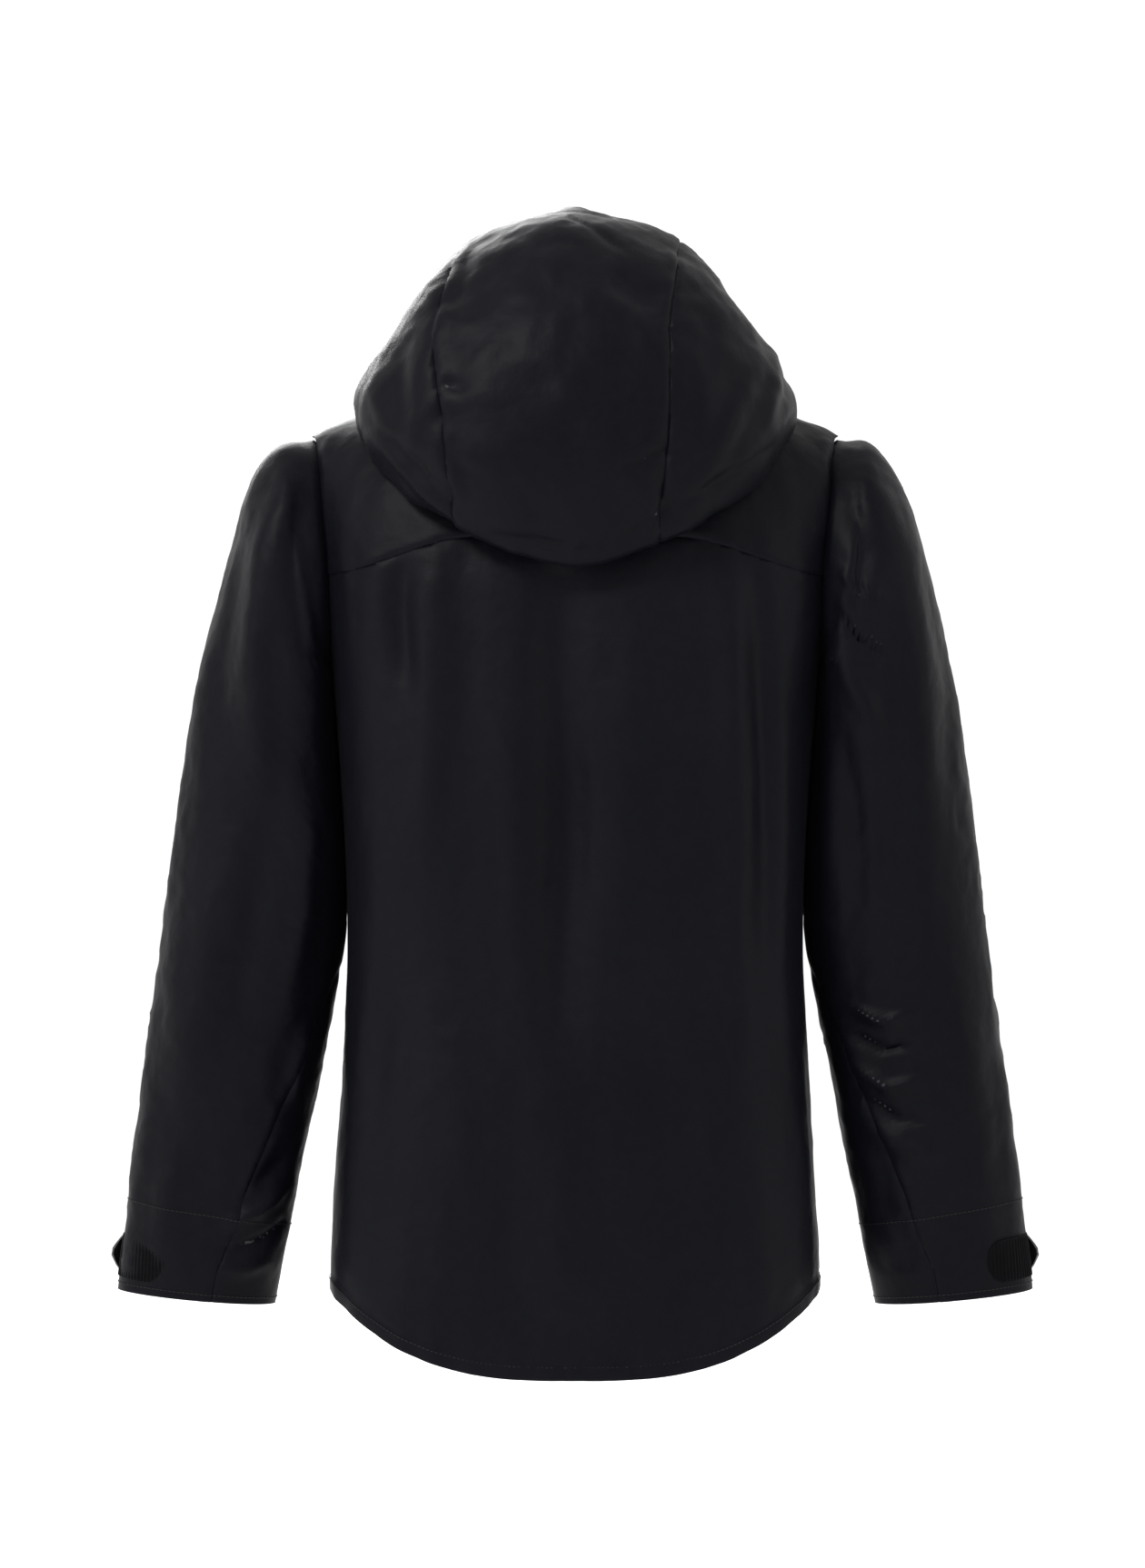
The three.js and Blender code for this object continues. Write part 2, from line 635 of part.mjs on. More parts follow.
function sleeves() {
  const us = spread(0, 1, 20).slice(0, -1);
  const vs = [0, 0.02, 0.05, 0.1, 0.16, 0.24, 0.34, 0.46, 0.6, 0.74, 0.88, 1];
  const shell = surfaceWall(sleevePoint, sleeveTurn, us, vs, 0, fabric, true);
  addPair('sleeve_upper', geometryOf(shell.subtract(gussetCutter(seamGap / 2))), 'shell');
  addPair('sleeve_under', geometryOf(shell.intersect(gussetCutter(-seamGap / 2))), 'shell');
  const near = fabric + seamGap;
  const band = surfaceWall(sleevePoint, sleeveTurn, us, [0.96, 0.979, 0.998], near, near + 1, true);
  addPair('cuff_facing', geometryOf(band), 'lining');
}

// The hook-and-loop closure of the cuff: a loop patch round its outer side, and over it a tab that is
// sewn at the front and ends in a free tip standing off the cuff.
function cuffClosure() {
  const low = 0.968;
  const high = 0.992;
  const patch = surfaceWall(sleevePoint, sleeveTurn, spread(-0.2, 0.18, 12), [low, high], -1.1, -0.3);
  addPair('cuff_loop_patch', geometryOf(patch), 'velcro');
  const hook = surfaceWall(sleevePoint, sleeveTurn, spread(-0.19, -0.08, 6), [low + 0.003, high - 0.003], -1.9, -1.4);
  addPair('cuff_hook', geometryOf(hook), 'velcro');
  const rows = (depth) => [low, (low + high) / 2, high].map((v) => {
    const row = spread(-0.26, -0.07, 9).map((u) => sunkPoint(sleevePoint, sleeveTurn, u, v, depth));
    const end = row[row.length - 1];
    const along = end.clone().sub(row[row.length - 2]).normalize();
    const middle = sunkPoint(sleevePoint, sleeveTurn, -0.07, (low + high) / 2, depth);
    for (const [reach, narrow] of [[tabTip * 0.55, 0.1], [tabTip, 0.72]]) {
      const tip = end.clone().addScaledVector(along, reach);
      tip.addScaledVector(middle.clone().sub(end), narrow);
      row.push(tip);
    }
    return row;
  });
  addPair('cuff_tab', wallGeometry(rows(-3.8), rows(-2.2), false), 'plastic');
}

// ---------------------------------------------------------------- zips
function profileBar(points, length) {
  const shape = new THREE.Shape(points.map(([x, y]) => new THREE.Vector2(x, y)));
  return new THREE.ExtrudeGeometry(shape, { depth: length, bevelEnabled: false });
}

// A slider in its zip's frame: front and rear plates joined by a web that runs in the slit, and two ears.
function sliderGeometry() {
  const front = -chainThick / 2 - slideGap;
  const rear = chainThick / 2 + slideGap + 0.3;
  const web = slitHalf - slideGap + 0.05;
  const half = sliderHalfWidth;
  const body = profileBar([[-half, front - plateThick], [half, front - plateThick], [half, front], [web, front],
    [web, rear], [half, rear], [half, rear + plateThick], [-half, rear + plateThick], [-half, rear],
    [-web, rear], [-web, front], [-half, front]], sliderLength);
  let solid = solidOf(body);
  for (const side of [1, -1]) {
    const near = side * (pullHalfWidth + slideGap);
    const far = near + side * 1.3;
    solid = solid.add(boxSolid([Math.min(near, far), pinY - 2.2, sliderLength / 2 - 3.4],
      [Math.max(near, far), front - plateThick + 0.4, sliderLength / 2 + 3.4]));
  }
  return geometryOf(solid.subtract(pinSolid(pinRadius + slideGap * 0.8, 30)));
}

function pinSolid(radius, length) {
  const pin = new THREE.CylinderGeometry(radius, radius, length, 12);
  pin.rotateZ(Math.PI / 2);
  pin.translate(0, pinY, sliderLength / 2);
  return solidOf(pin);
}

// The pull that hangs from a slider: a captive pin between the ears and a moulded grip below them.
function pullGeometry() {
  const pivot = sliderLength / 2;
  const neck = boxSolid([-pullHalfWidth, pinY - 0.8, pivot - 10], [pullHalfWidth, pinY + 0.8, pivot]);
  const grip = new THREE.CylinderGeometry(4.6, 3.8, pullLength - 9, 16);
  grip.rotateX(Math.PI / 2);
  grip.scale(1, 0.27, 1);
  grip.translate(0, pinY, pivot - 9 - (pullLength - 9) / 2);
  return geometryOf(neck.add(pinSolid(pinRadius, 2 * pullHalfWidth + 2.8)).add(solidOf(grip)));
}

// The frame of the front zip: x across, y into the jacket and z up along the zip.
function frontFrame() {
  const frame = new THREE.Group();
  frame.position.set(0, -hemFrontDepth, 0);
  frame.rotation.x = -Math.atan((hemFrontDepth - chinFrontDepth) / chinHeight);
  group.add(frame);
  return frame;
}

function place(mesh, z) {
  mesh.position.z = z;
  return mesh;
}

function frontZip() {
  const frame = frontFrame();
  const length = chinHeight - 2 - zipBottom;
  const y0 = -chainThick / 2;
  const half = [[slitHalf, y0], [chainHalfWidth, y0], [chainHalfWidth, 0.3], [zipHalfWidth, 0.3],
    [zipHalfWidth, 0.3 + tapeThick], [chainHalfWidth, 0.3 + tapeThick], [chainHalfWidth, chainThick / 2 + 0.3],
    [slitHalf, chainThick / 2 + 0.3]];
  const left = profileBar(half, length);
  place(add('front_zip_left', left, 'tape', frame), zipBottom);
  place(add('front_zip_right', mirrored(mergeVertices(left)), 'tape', frame), zipBottom);
  const box = new THREE.BoxGeometry(13, 4.6, 7.4);
  place(add('front_zip_box', box, 'plastic', frame), zipBottom - seamGap - 3.7);
  const parked = zipBottom + length - sliderLength - 2;
  place(add('front_zip_slider', sliderGeometry(), 'metal', frame), parked);
  place(add('front_zip_pull', pullGeometry(), 'plastic', frame), parked);
  const flapLength = length - 6;
  const flap = new THREE.BoxGeometry(34, 1.2, flapLength);
  const flapMesh = add('storm_flap', flap, 'lining', frame);
  flapMesh.position.set(2, flapDepth, zipBottom + 2 + flapLength / 2);
  const guard = new THREE.BoxGeometry(40, 1.6, 42);
  const guardMesh = add('chin_guard', guard, 'lining', frame);
  guardMesh.position.set(0, flapDepth + 1.8, chinHeight - 25);
}

// ---------------------------------------------------------------- hand pockets
function bodyU(x, height) {
  const across = (Math.abs(x) / bodyHalfWidth(height)) ** (roundness / 2);
  const turn = Math.acos(Math.min(1, across)) / (2 * Math.PI);
  return x > 0 ? 1 - turn : 0.5 + turn;
}

function bodyV(height) {
  return (sideShare * (height - hemSideRise)) / (domeStart - hemSideRise);
}

function pocketBag(side, matrix, length) {
  const block = (grow, near, far) => {
    const us = spread(26 - grow, 146 + grow, 9).map((x) => bodyU(side * x, 240));
    const vs = spread(bodyV(120 - grow), bodyV(pocketZipHigh + 14 + grow), 5);
    return surfaceWall(bodyPoint, bodyTurn, us, vs, near, far);
  };
  const slot = placedBox([-8, 2, 3 - length / 2], [8, bagDepth + 5, length / 2 - 3], matrix);
  return block(0, bagDepth, bagDepth + bagSpace + 2).subtract(block(-3, bagDepth + 1, bagDepth + 1 + bagSpace)).subtract(slot);
}

function handPockets() {
  for (const [name, side] of [['left', 1], ['right', -1]]) {
    const { matrix, length } = pocketFrame(side);
    const frame = new THREE.Group();
    frame.applyMatrix4(matrix);
    group.add(frame);
    const half = length / 2;
    const tape = boxSolid([-zipHalfWidth, 0.3, -half], [zipHalfWidth, 0.3 + tapeThick, half]);
    const chain = boxSolid([-chainHalfWidth, -chainThick / 2, 4 - half], [chainHalfWidth, chainThick / 2 + 0.3, half - 4]);
    const slit = boxSolid([-slitHalf, -9, 8 - half], [slitHalf, 9, half - 8]);
    add(`pocket_zip_${name}`, geometryOf(tape.add(chain).subtract(slit)), 'tape', frame);
    const parked = half - 8.5 - sliderLength;
    place(add(`pocket_slider_${name}`, sliderGeometry(), 'metal', frame), parked);
    place(add(`pocket_pull_${name}`, pullGeometry(), 'plastic', frame), parked);
    add(`pocket_bag_${name}`, geometryOf(pocketBag(side, matrix, length)), 'lining');
  }
}

// ---------------------------------------------------------------- cord locks, hem and hang loop
function lathe(points) {
  const profile = points.map(([r, z]) => new THREE.Vector2(r, z));
  const geometry = new THREE.LatheGeometry(profile, 16);
  geometry.rotateX(Math.PI / 2);
  return solidOf(facingOut(mergeVertices(stripped(geometry))));
}

function stripped(geometry) {
  geometry.deleteAttribute('normal');
  geometry.deleteAttribute('uv');
  return geometry;
}

function crossBore(height) {
  const bore = new THREE.CylinderGeometry(cordRadius + 0.6, cordRadius + 0.6, 40, 12);
  bore.rotateZ(Math.PI / 2);
  bore.translate(0, 0, height);
  return solidOf(bore);
}

// A barrel cord lock standing on its base, with the cord's bore along its own x.
function cordLock(name, frame) {
  const inner = lockRadius - 1.7;
  const plug = inner - 0.45;
  const cup = lathe([[0, 0], [lockRadius, 0], [lockRadius, lockHeight], [inner, lockHeight], [inner, 1.6], [0, 1.6], [0, 0]]);
  add(`${name}_housing`, geometryOf(cup.subtract(crossBore(boreHeight))), 'plastic', frame);
  const top = lockHeight + buttonTravel + 0.6;
  const button = lathe([[0, 6.4], [plug, 6.4], [plug, top - 0.8], [plug - 0.8, top], [0, top], [0, 6.4]]);
  add(`${name}_button`, geometryOf(button.subtract(crossBore(boreHeight + buttonTravel))), 'plastic', frame);
  const turns = 3.2;
  const coil = spread(0, turns, 26).map((t) => new THREE.Vector3(
    (plug - 1.2) * Math.cos(t * 2 * Math.PI), (plug - 1.2) * Math.sin(t * 2 * Math.PI), 2.4 + (t / turns) * 3.2,
  ));
  add(`${name}_spring`, tube(coil, 0.4, 5, 24), 'metal', frame);
}

function hemLockPlace(side) {
  const height = hemSideRise + 4;
  const at = frontPointAt(side * hemLockX, height);
  return new THREE.Vector3(at.x, at.y + fabric + lockSpare + lockRadius, height);
}

// The share of the hem's turn from the centre front to each end of its channel.
const frontGapShare = 0.0445;

function hem() {
  const us = spread(0.75 + frontGapShare, 1.75 - frontGapShare, 44);
  const near = fabric + 2 * cordRadius + 1.2;
  const rise = (sideShare * hemBandHeight) / (domeStart - hemSideRise);
  const band = surfaceWall(bodyPoint, bodyTurn, us, [0.001, rise], near, near + 1);
  add('hem_channel', geometryOf(band), 'lining');
  const along = spread(0.75 + frontGapShare, 1.75 - frontGapShare, 40).map((u) => sunkPoint(
    bodyPoint, bodyTurn, u, rise / 2, fabric + cordRadius + 1,
  ));
  for (const side of [1, -1]) {
    const frame = new THREE.Group();
    frame.position.copy(hemLockPlace(side));
    group.add(frame);
    cordLock(side > 0 ? 'hem_lock_left' : 'hem_lock_right', frame);
    const mouth = frame.position.clone().add(new THREE.Vector3(side * (lockRadius - 1.2), 0, boreHeight));
    const outside = mouth.clone().add(new THREE.Vector3(side * 4, 0, 0));
    if (side > 0) along.unshift(mouth, outside);
    else along.push(outside, mouth);
  }
  add('hem_drawcord', tube(along, cordRadius, 6, 64), 'cord');
}

function hoodLocks() {
  const stand = 2 * fabric + lockSpare + lockRadius;
  const route = spread(-0.1, Math.PI + 0.1, 36).map((turn) => faceEdge(turn, 8, fabric + cordRadius + 2));
  for (const side of [1, -1]) {
    const turn = side > 0 ? -0.15 : Math.PI + 0.15;
    const frame = new THREE.Group();
    frame.position.copy(faceEdge(turn, 34, stand));
    frame.position.z -= boreHeight;
    const edge = faceEdge(turn, 9, stand);
    const away = edge.clone().sub(frame.position).setZ(0).normalize();
    frame.rotation.z = Math.atan2(away.y, away.x);
    group.add(frame);
    cordLock(side > 0 ? 'hood_lock_left' : 'hood_lock_right', frame);
    const mouth = frame.position.clone().addScaledVector(away, lockRadius - 1.2);
    mouth.z += boreHeight;
    const outside = mouth.clone().addScaledVector(away, 5);
    if (side > 0) route.unshift(mouth, outside);
    else route.push(outside, mouth);
  }
  add('hood_drawcord', tube(route, cordRadius, 6, 52), 'cord');
}

function neckTrim() {
  const turns = spread(-1.35, 1.35, 16);
  const row = (spare, height) => turns.map((angle) => {
    const { radius } = neckRing(angle, -spare);
    return new THREE.Vector3(radius * Math.sin(angle), radius * Math.cos(angle), height);
  });
  const outer = neckGap + fabric + 1;
  const bottom = neckPointHeight - 20;
  const tape = wallGeometry([row(outer, bottom), row(outer, neckPointHeight)],
    [row(outer + 1, bottom), row(outer + 1, neckPointHeight)], false);
  add('neck_tape', tape, 'lining');
  const [half, thick] = [loopHalfWidth, loopThick];
  const shape = new THREE.Shape([[-half - thick, bottom + 4], [-half, bottom + 4], [-half, loopHeight], [half, loopHeight],
    [half, bottom + 4], [half + thick, bottom + 4], [half + thick, loopHeight + thick],
    [-half - thick, loopHeight + thick]].map(([x, z]) => new THREE.Vector2(x, z)));
  const loop = new THREE.ExtrudeGeometry(shape, { depth: loopWidth, bevelEnabled: false });
  loop.rotateX(Math.PI / 2);
  loop.translate(0, loopBack, 0);
  add('hang_loop', loop, 'tape');
}

bodyPanels();
hoodPanels();
hoodTrim();
hoodLocks();
sleeves();
cuffClosure();
frontZip();
handPockets();
hem();
neckTrim();
group.position.set(0, -(loopBack - loopWidth / 2), -loopHeight);
group.updateMatrixWorld(true);
export default group;
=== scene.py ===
"""Looks of a hooded hardshell jacket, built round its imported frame.

Lengths in this file are garment millimetres: heights from the lowest point of the back hem, the
wearer's left along +X and the back along +Y.  ``in_row`` turns them into the frame's metres.
"""

import logging
import math
from dataclasses import dataclass, field
from enum import Enum
from typing import Callable, Sequence

import bmesh
import bpy
import numpy as np
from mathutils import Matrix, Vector


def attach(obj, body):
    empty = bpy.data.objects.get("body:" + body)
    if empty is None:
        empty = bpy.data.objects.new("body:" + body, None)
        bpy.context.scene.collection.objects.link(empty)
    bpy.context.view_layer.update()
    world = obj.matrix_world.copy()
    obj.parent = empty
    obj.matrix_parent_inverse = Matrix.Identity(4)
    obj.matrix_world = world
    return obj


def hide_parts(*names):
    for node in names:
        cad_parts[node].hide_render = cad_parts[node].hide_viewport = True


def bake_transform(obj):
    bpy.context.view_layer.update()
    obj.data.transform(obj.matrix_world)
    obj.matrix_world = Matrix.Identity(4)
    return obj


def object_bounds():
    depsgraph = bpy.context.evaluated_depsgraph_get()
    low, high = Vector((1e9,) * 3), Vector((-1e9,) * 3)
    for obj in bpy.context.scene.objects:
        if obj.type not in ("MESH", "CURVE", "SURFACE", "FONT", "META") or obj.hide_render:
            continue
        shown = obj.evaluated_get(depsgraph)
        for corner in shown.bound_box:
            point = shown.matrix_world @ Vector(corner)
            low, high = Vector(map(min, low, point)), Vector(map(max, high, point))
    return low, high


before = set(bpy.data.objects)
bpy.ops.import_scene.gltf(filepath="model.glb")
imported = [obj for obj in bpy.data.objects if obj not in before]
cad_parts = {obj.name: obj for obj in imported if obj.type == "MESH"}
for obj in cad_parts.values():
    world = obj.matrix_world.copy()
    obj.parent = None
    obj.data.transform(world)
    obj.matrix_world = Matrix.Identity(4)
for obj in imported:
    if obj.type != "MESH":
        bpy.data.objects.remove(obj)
CAD_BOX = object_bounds()

logging.basicConfig(level=logging.INFO, format="%(message)s")
log = logging.getLogger("jacket")

Array = np.ndarray
Relief = Callable[[Array], Array]
MM = 0.001
ROW_SHIFT = np.array([0.0, -62.5, -738.0])
CLOTH = 0.8
ZIP_CHANNEL = 10.2
FRONT_DEPTH = 128.0
FRONT_LEAN = 18 / 742
ARMHOLE_HEIGHT = 599.0
FACE_HEIGHT = 793.0
FACE_HALF = (70.0, 45.0)


class Body(Enum):
    """The moving bodies that pieces ride on."""

    JACKET = "jacket"
    SLEEVE_LEFT = "sleeve_left"
    SLEEVE_RIGHT = "sleeve_right"
    TAB_LEFT = "cuff_tab_left"
    TAB_RIGHT = "cuff_tab_right"


class Side(Enum):
    """The wearer's left (+1) or right (-1)."""

    LEFT = 1
    RIGHT = -1

    @property
    def word(self) -> str:
        """The side's name in a piece's name."""
        return self.name.lower()

    @property
    def sleeve(self) -> Body:
        """The sleeve body on this side."""
        return Body.SLEEVE_LEFT if self is Side.LEFT else Body.SLEEVE_RIGHT

    @property
    def tab(self) -> Body:
        """The cuff tab's body on this side."""
        return Body.TAB_LEFT if self is Side.LEFT else Body.TAB_RIGHT


# ------------------------------------------------------------------ numbers and noise
def in_row(points: Array) -> Array:
    """Turns garment millimetres into the frame's metres."""
    return (np.asarray(points, float) + ROW_SHIFT) * MM


def smooth(low: float, high: float, value: Array) -> Array:
    """A smooth step from 0 at low to 1 at high; low may be above high."""
    t = np.clip((np.asarray(value, float) - low) / (high - low), 0, 1)
    return t * t * (3 - 2 * t)


def bell(distance: Array, width: float) -> Array:
    """A smooth bump of height 1 that fades over width."""
    return np.exp(-((distance / width) ** 2))


def unit(vectors: Array) -> Array:
    """Vectors at length 1."""
    return vectors / np.maximum(np.linalg.norm(vectors, axis=-1, keepdims=True), 1e-12)


GRADIENTS = unit(np.random.default_rng(7).normal(size=(64, 3)))


def noise(points: Array, scale: float, seed: int) -> Array:
    """Smooth gradient noise.

    Args:
        points: Places in millimetres, one row each.
        scale: Size of a feature in millimetres.
        seed: Which noise.

    Returns:
        Values from about -1 to 1.
    """
    q = points / scale + seed * 17.31
    cell = np.floor(q).astype(np.int64)
    part = q - cell
    ease = part**3 * (part * (part * 6 - 15) + 10)
    total = np.zeros(len(points))
    for corner in np.ndindex(2, 2, 2):
        c = cell + corner
        key = (c[:, 0] * 73856093) ^ (c[:, 1] * 19349663) ^ (c[:, 2] * 83492791) ^ (seed * 7919)
        slope = GRADIENTS[((key ^ (key >> 11)) & 0x7FFFFFFF) % 64]
        weight = np.prod(np.where(np.array(corner) == 1, ease, 1 - ease), axis=1)
        total += weight * (slope * (part - corner)).sum(1)
    return total * 1.6


def crumple(points: Array, scale: float, seed: int) -> Array:
    """Noise with soft ridges, as cloth has where it has been folded and shaken out."""
    warp = np.stack([noise(points, scale * 1.7, seed + k) for k in (3, 5, 9)], axis=1)
    return 1 - 2.2 * np.abs(noise(points + warp * scale * 0.45, scale, seed))


@dataclass(frozen=True)
class Fold:
    """A fold in the cloth, along a line seen from behind.

    Attributes:
        line: Points (across, height) in millimetres.
        rise: How far it stands out, or how deep it is if below 0.
        width: How far its side slopes reach.
        step: Share of a one-sided edge, where one ply lies over the next.
    """

    line: tuple[tuple[float, float], ...]
    rise: float
    width: float
    step: float = 0.0

    def relief(self, seen: Array) -> Array:
        """The fold's height at places (across, height)."""
        best = np.full(len(seen), 1e9)
        signed = np.zeros(len(seen))
        along = np.zeros(len(seen))
        ends = np.array(self.line, float)
        lengths = np.linalg.norm(np.diff(ends, axis=0), axis=1)
        start = 0.0
        for a, b, length in zip(ends[:-1], ends[1:], lengths):
            d = (b - a) / length
            t = np.clip((seen - a) @ d, 0, length)
            off = seen - a - t[:, None] * d
            distance = np.linalg.norm(off, axis=1)
            nearer = distance < best
            best = np.where(nearer, distance, best)
            signed = np.where(nearer, d[0] * off[:, 1] - d[1] * off[:, 0], signed)
            along = np.where(nearer, (start + t) / lengths.sum(), along)
            start += length
        taper = np.sqrt(np.clip(np.sin(np.pi * np.clip(along, 0.02, 0.98)), 0, 1))
        soft = bell(best, self.width)
        edge = np.sign(signed) * np.minimum(1, np.abs(signed) / (0.18 * self.width))
        ply = edge * bell(best, self.width * 1.3)
        return self.rise * taper * ((1 - self.step) * soft + self.step * ply)


def folded(seen: Array, folds: Sequence[Fold]) -> Array:
    """The sum of the folds' relief at places (across, height)."""
    total = np.zeros(len(seen))
    for fold in folds:
        total += fold.relief(seen)
    return total


def felled_seam(distance: Array) -> Array:
    """Relief by a felled seam: a groove at 0 and the turned allowance raised on the positive side."""
    allowance = smooth(-0.2, 0.8, distance) * smooth(9.5, 7.6, distance)
    return 0.55 * allowance - 0.95 * bell(distance, 1.3)


# ------------------------------------------------------------------ curves
def spline_table(pairs: Sequence[tuple[float, float]]) -> tuple[Array, Array]:
    """A smooth line through (height, value) pairs, sampled finely."""
    p = np.array(pairs, float)
    last = len(p) - 1
    t = np.linspace(0, last, 1200)
    k = np.minimum(t.astype(int), last - 1)
    f = (t - k)[:, None]
    p0, p1, p2, p3 = (p[np.clip(k + n, 0, last)] for n in (-1, 0, 1, 2))
    v0, v1 = (p2 - p0) / 2, (p3 - p1) / 2
    line = (2 * p1 - 2 * p2 + v0 + v1) * f**3 + (-3 * p1 + 3 * p2 - 2 * v0 - v1) * f**2 + v0 * f + p1
    return line[:, 0], line[:, 1]


def curve_through(points: Array, t: Array, centripetal: bool) -> Array:
    """Catmull-Rom places on curves.

    Args:
        points: Shape (n, k, d): k points of each of n curves.
        t: Shape (n,): the place on each curve, from 0 to 1.
        centripetal: Spacing by the root of distance; otherwise even spacing at half tension.

    Returns:
        Shape (n, d).
    """
    first = 2 * points[:, :1] - points[:, 1:2]
    end = 2 * points[:, -1:] - points[:, -2:-1]
    p = np.concatenate([first, points, end], axis=1)
    at = np.clip(t, 0, 1) * (points.shape[1] - 1)
    k = np.minimum(at.astype(int), points.shape[1] - 2)
    f = (at - k)[:, None]
    rows = np.arange(len(p))
    x0, x1, x2, x3 = (p[rows, k + n] for n in range(4))
    if not centripetal:
        t1, t2 = (x2 - x0) / 2, (x3 - x1) / 2
    else:
        spans = ((x0, x1), (x1, x2), (x2, x3))
        d0, d1, d2 = (np.sqrt(np.linalg.norm(b - a, axis=1))[:, None] for a, b in spans)
        d1 = np.maximum(d1, 1e-6)
        d0, d2 = np.where(d0 < 1e-6, d1, d0), np.where(d2 < 1e-6, d1, d2)
        t1 = ((x1 - x0) / d0 - (x2 - x0) / (d0 + d1) + (x2 - x1) / d1) * d1
        t2 = ((x2 - x1) / d1 - (x3 - x1) / (d1 + d2) + (x3 - x2) / d2) * d1
    return (2 * x1 - 2 * x2 + t1 + t2) * f**3 + (-3 * x1 + 3 * x2 - 2 * t1 - t2) * f**2 + t1 * f + x1


# ------------------------------------------------------------------ the garment's surfaces
class Form:
    """A smooth surface of the garment: places (u, v) to points in garment millimetres.

    Attributes:
        turn: 1 where u, v and outwards make a right-handed set, or else -1.
    """

    turn: int = 1

    def point(self, u: Array, v: Array) -> Array:
        """The point at a place."""
        raise NotImplementedError

    def normal(self, u: Array, v: Array) -> Array:
        """The outward unit normal at a place."""
        step = 1.5e-3
        along_u = self.point(u + step, v) - self.point(u - step, v)
        along_v = self.point(u, np.minimum(v + step, 1)) - self.point(u, np.maximum(v - step, 0))
        return unit(np.cross(along_u, along_v)) * self.turn

    def sunk(self, u: Array, v: Array, depth: float) -> Array:
        """The point that lies depth below the surface; a negative depth stands proud."""
        return self.point(u, v) - self.normal(u, v) * depth

    def even(self, low: float, high: float, other: float, count: int, along_u: bool) -> Array:
        """Places from low to high that stand evenly along the surface.

        Args:
            low: First place.
            high: Last place.
            other: The fixed coordinate.
            count: How many places.
            along_u: Whether u changes, or else v.

        Returns:
            The places.
        """
        t = np.linspace(low, high, 900)
        o = np.full_like(t, other)
        p = self.point(t, o) if along_u else self.point(o, t)
        run = np.concatenate([[0], np.cumsum(np.linalg.norm(np.diff(p, axis=0), axis=1))])
        return np.interp(np.linspace(0, run[-1], count), run, t)


class BodyForm(Form):
    """The body of the jacket; u turns round it (0 left side, 0.25 back) and v climbs it."""

    BEND = 0.55
    HEM_RISE = 58.0
    DOME = 560.0
    WIDTHS = spline_table([(0, 176), (80, 181), (311, 169.5), (506, 180), (650, 197), (770, 204)])

    def half_width(self, height: Array) -> Array:
        """Half the body's width at a height."""
        return np.interp(height, *self.WIDTHS)

    def shoulder_line(self, x: Array, front: Array) -> Array:
        """Height of the shoulder line above a place across."""
        across = np.abs(x)
        return 734 - 0.385 * (across - 86) + np.where(front, 5 * np.maximum(0, 56 - across), 0)

    def depth(self, height: Array, front: Array) -> Array:
        """Centre line to the front or the back at a height."""
        back = 118 + 4 * smooth(200, 0, height) - 6 * smooth(150, 300, height) * smooth(500, 350, height)
        return np.where(front, FRONT_DEPTH - FRONT_LEAN * height, back)

    def point(self, u: Array, v: Array) -> Array:
        """The point at a place."""
        angle = u * 2 * np.pi
        front = np.sin(angle) < 0
        across = np.sign(np.cos(angle)) * np.abs(np.cos(angle)) ** (2 / 3)
        hem = np.where(front, self.HEM_RISE, self.HEM_RISE * np.abs(across) ** 3)
        turn = np.clip((v - self.BEND) / (1 - self.BEND), 0, 1) * np.pi / 2
        straight = hem + (self.DOME - hem) * np.minimum(1, v / self.BEND)
        x = self.half_width(straight + (700 - straight) * np.sin(turn)) * across
        height = straight + (self.shoulder_line(x, front) - straight) * np.sin(turn)
        deep = np.sign(np.sin(angle)) * np.abs(np.sin(angle)) ** (2 / 3)
        y = self.depth(height, front) * deep * np.cos(turn)
        return np.stack([x, y, height], axis=1)

    def side_reach(self, y: Array, height: Array) -> Array:
        """How far out the body's side reaches at a depth and a height."""
        low, high = np.full_like(y, 60.0), np.full_like(y, 208.0)
        front = y < 0
        for _ in range(24):
            x = (low + high) / 2
            full = self.half_width(np.minimum(740, height))
            rest = np.maximum(0, 1 - (x / full) ** 3) ** (1 / 3)
            top = self.shoulder_line(x, front)
            q = np.clip((height - self.DOME) / (top - self.DOME), 0, 1)
            depth = self.depth(height, front) * rest * np.sqrt(1 - q * q)
            inside = (height < self.shoulder_line(x, np.zeros_like(front))) & (depth > np.abs(y))
            low, high = np.where(inside, x, low), np.where(inside, high, x)
        return low


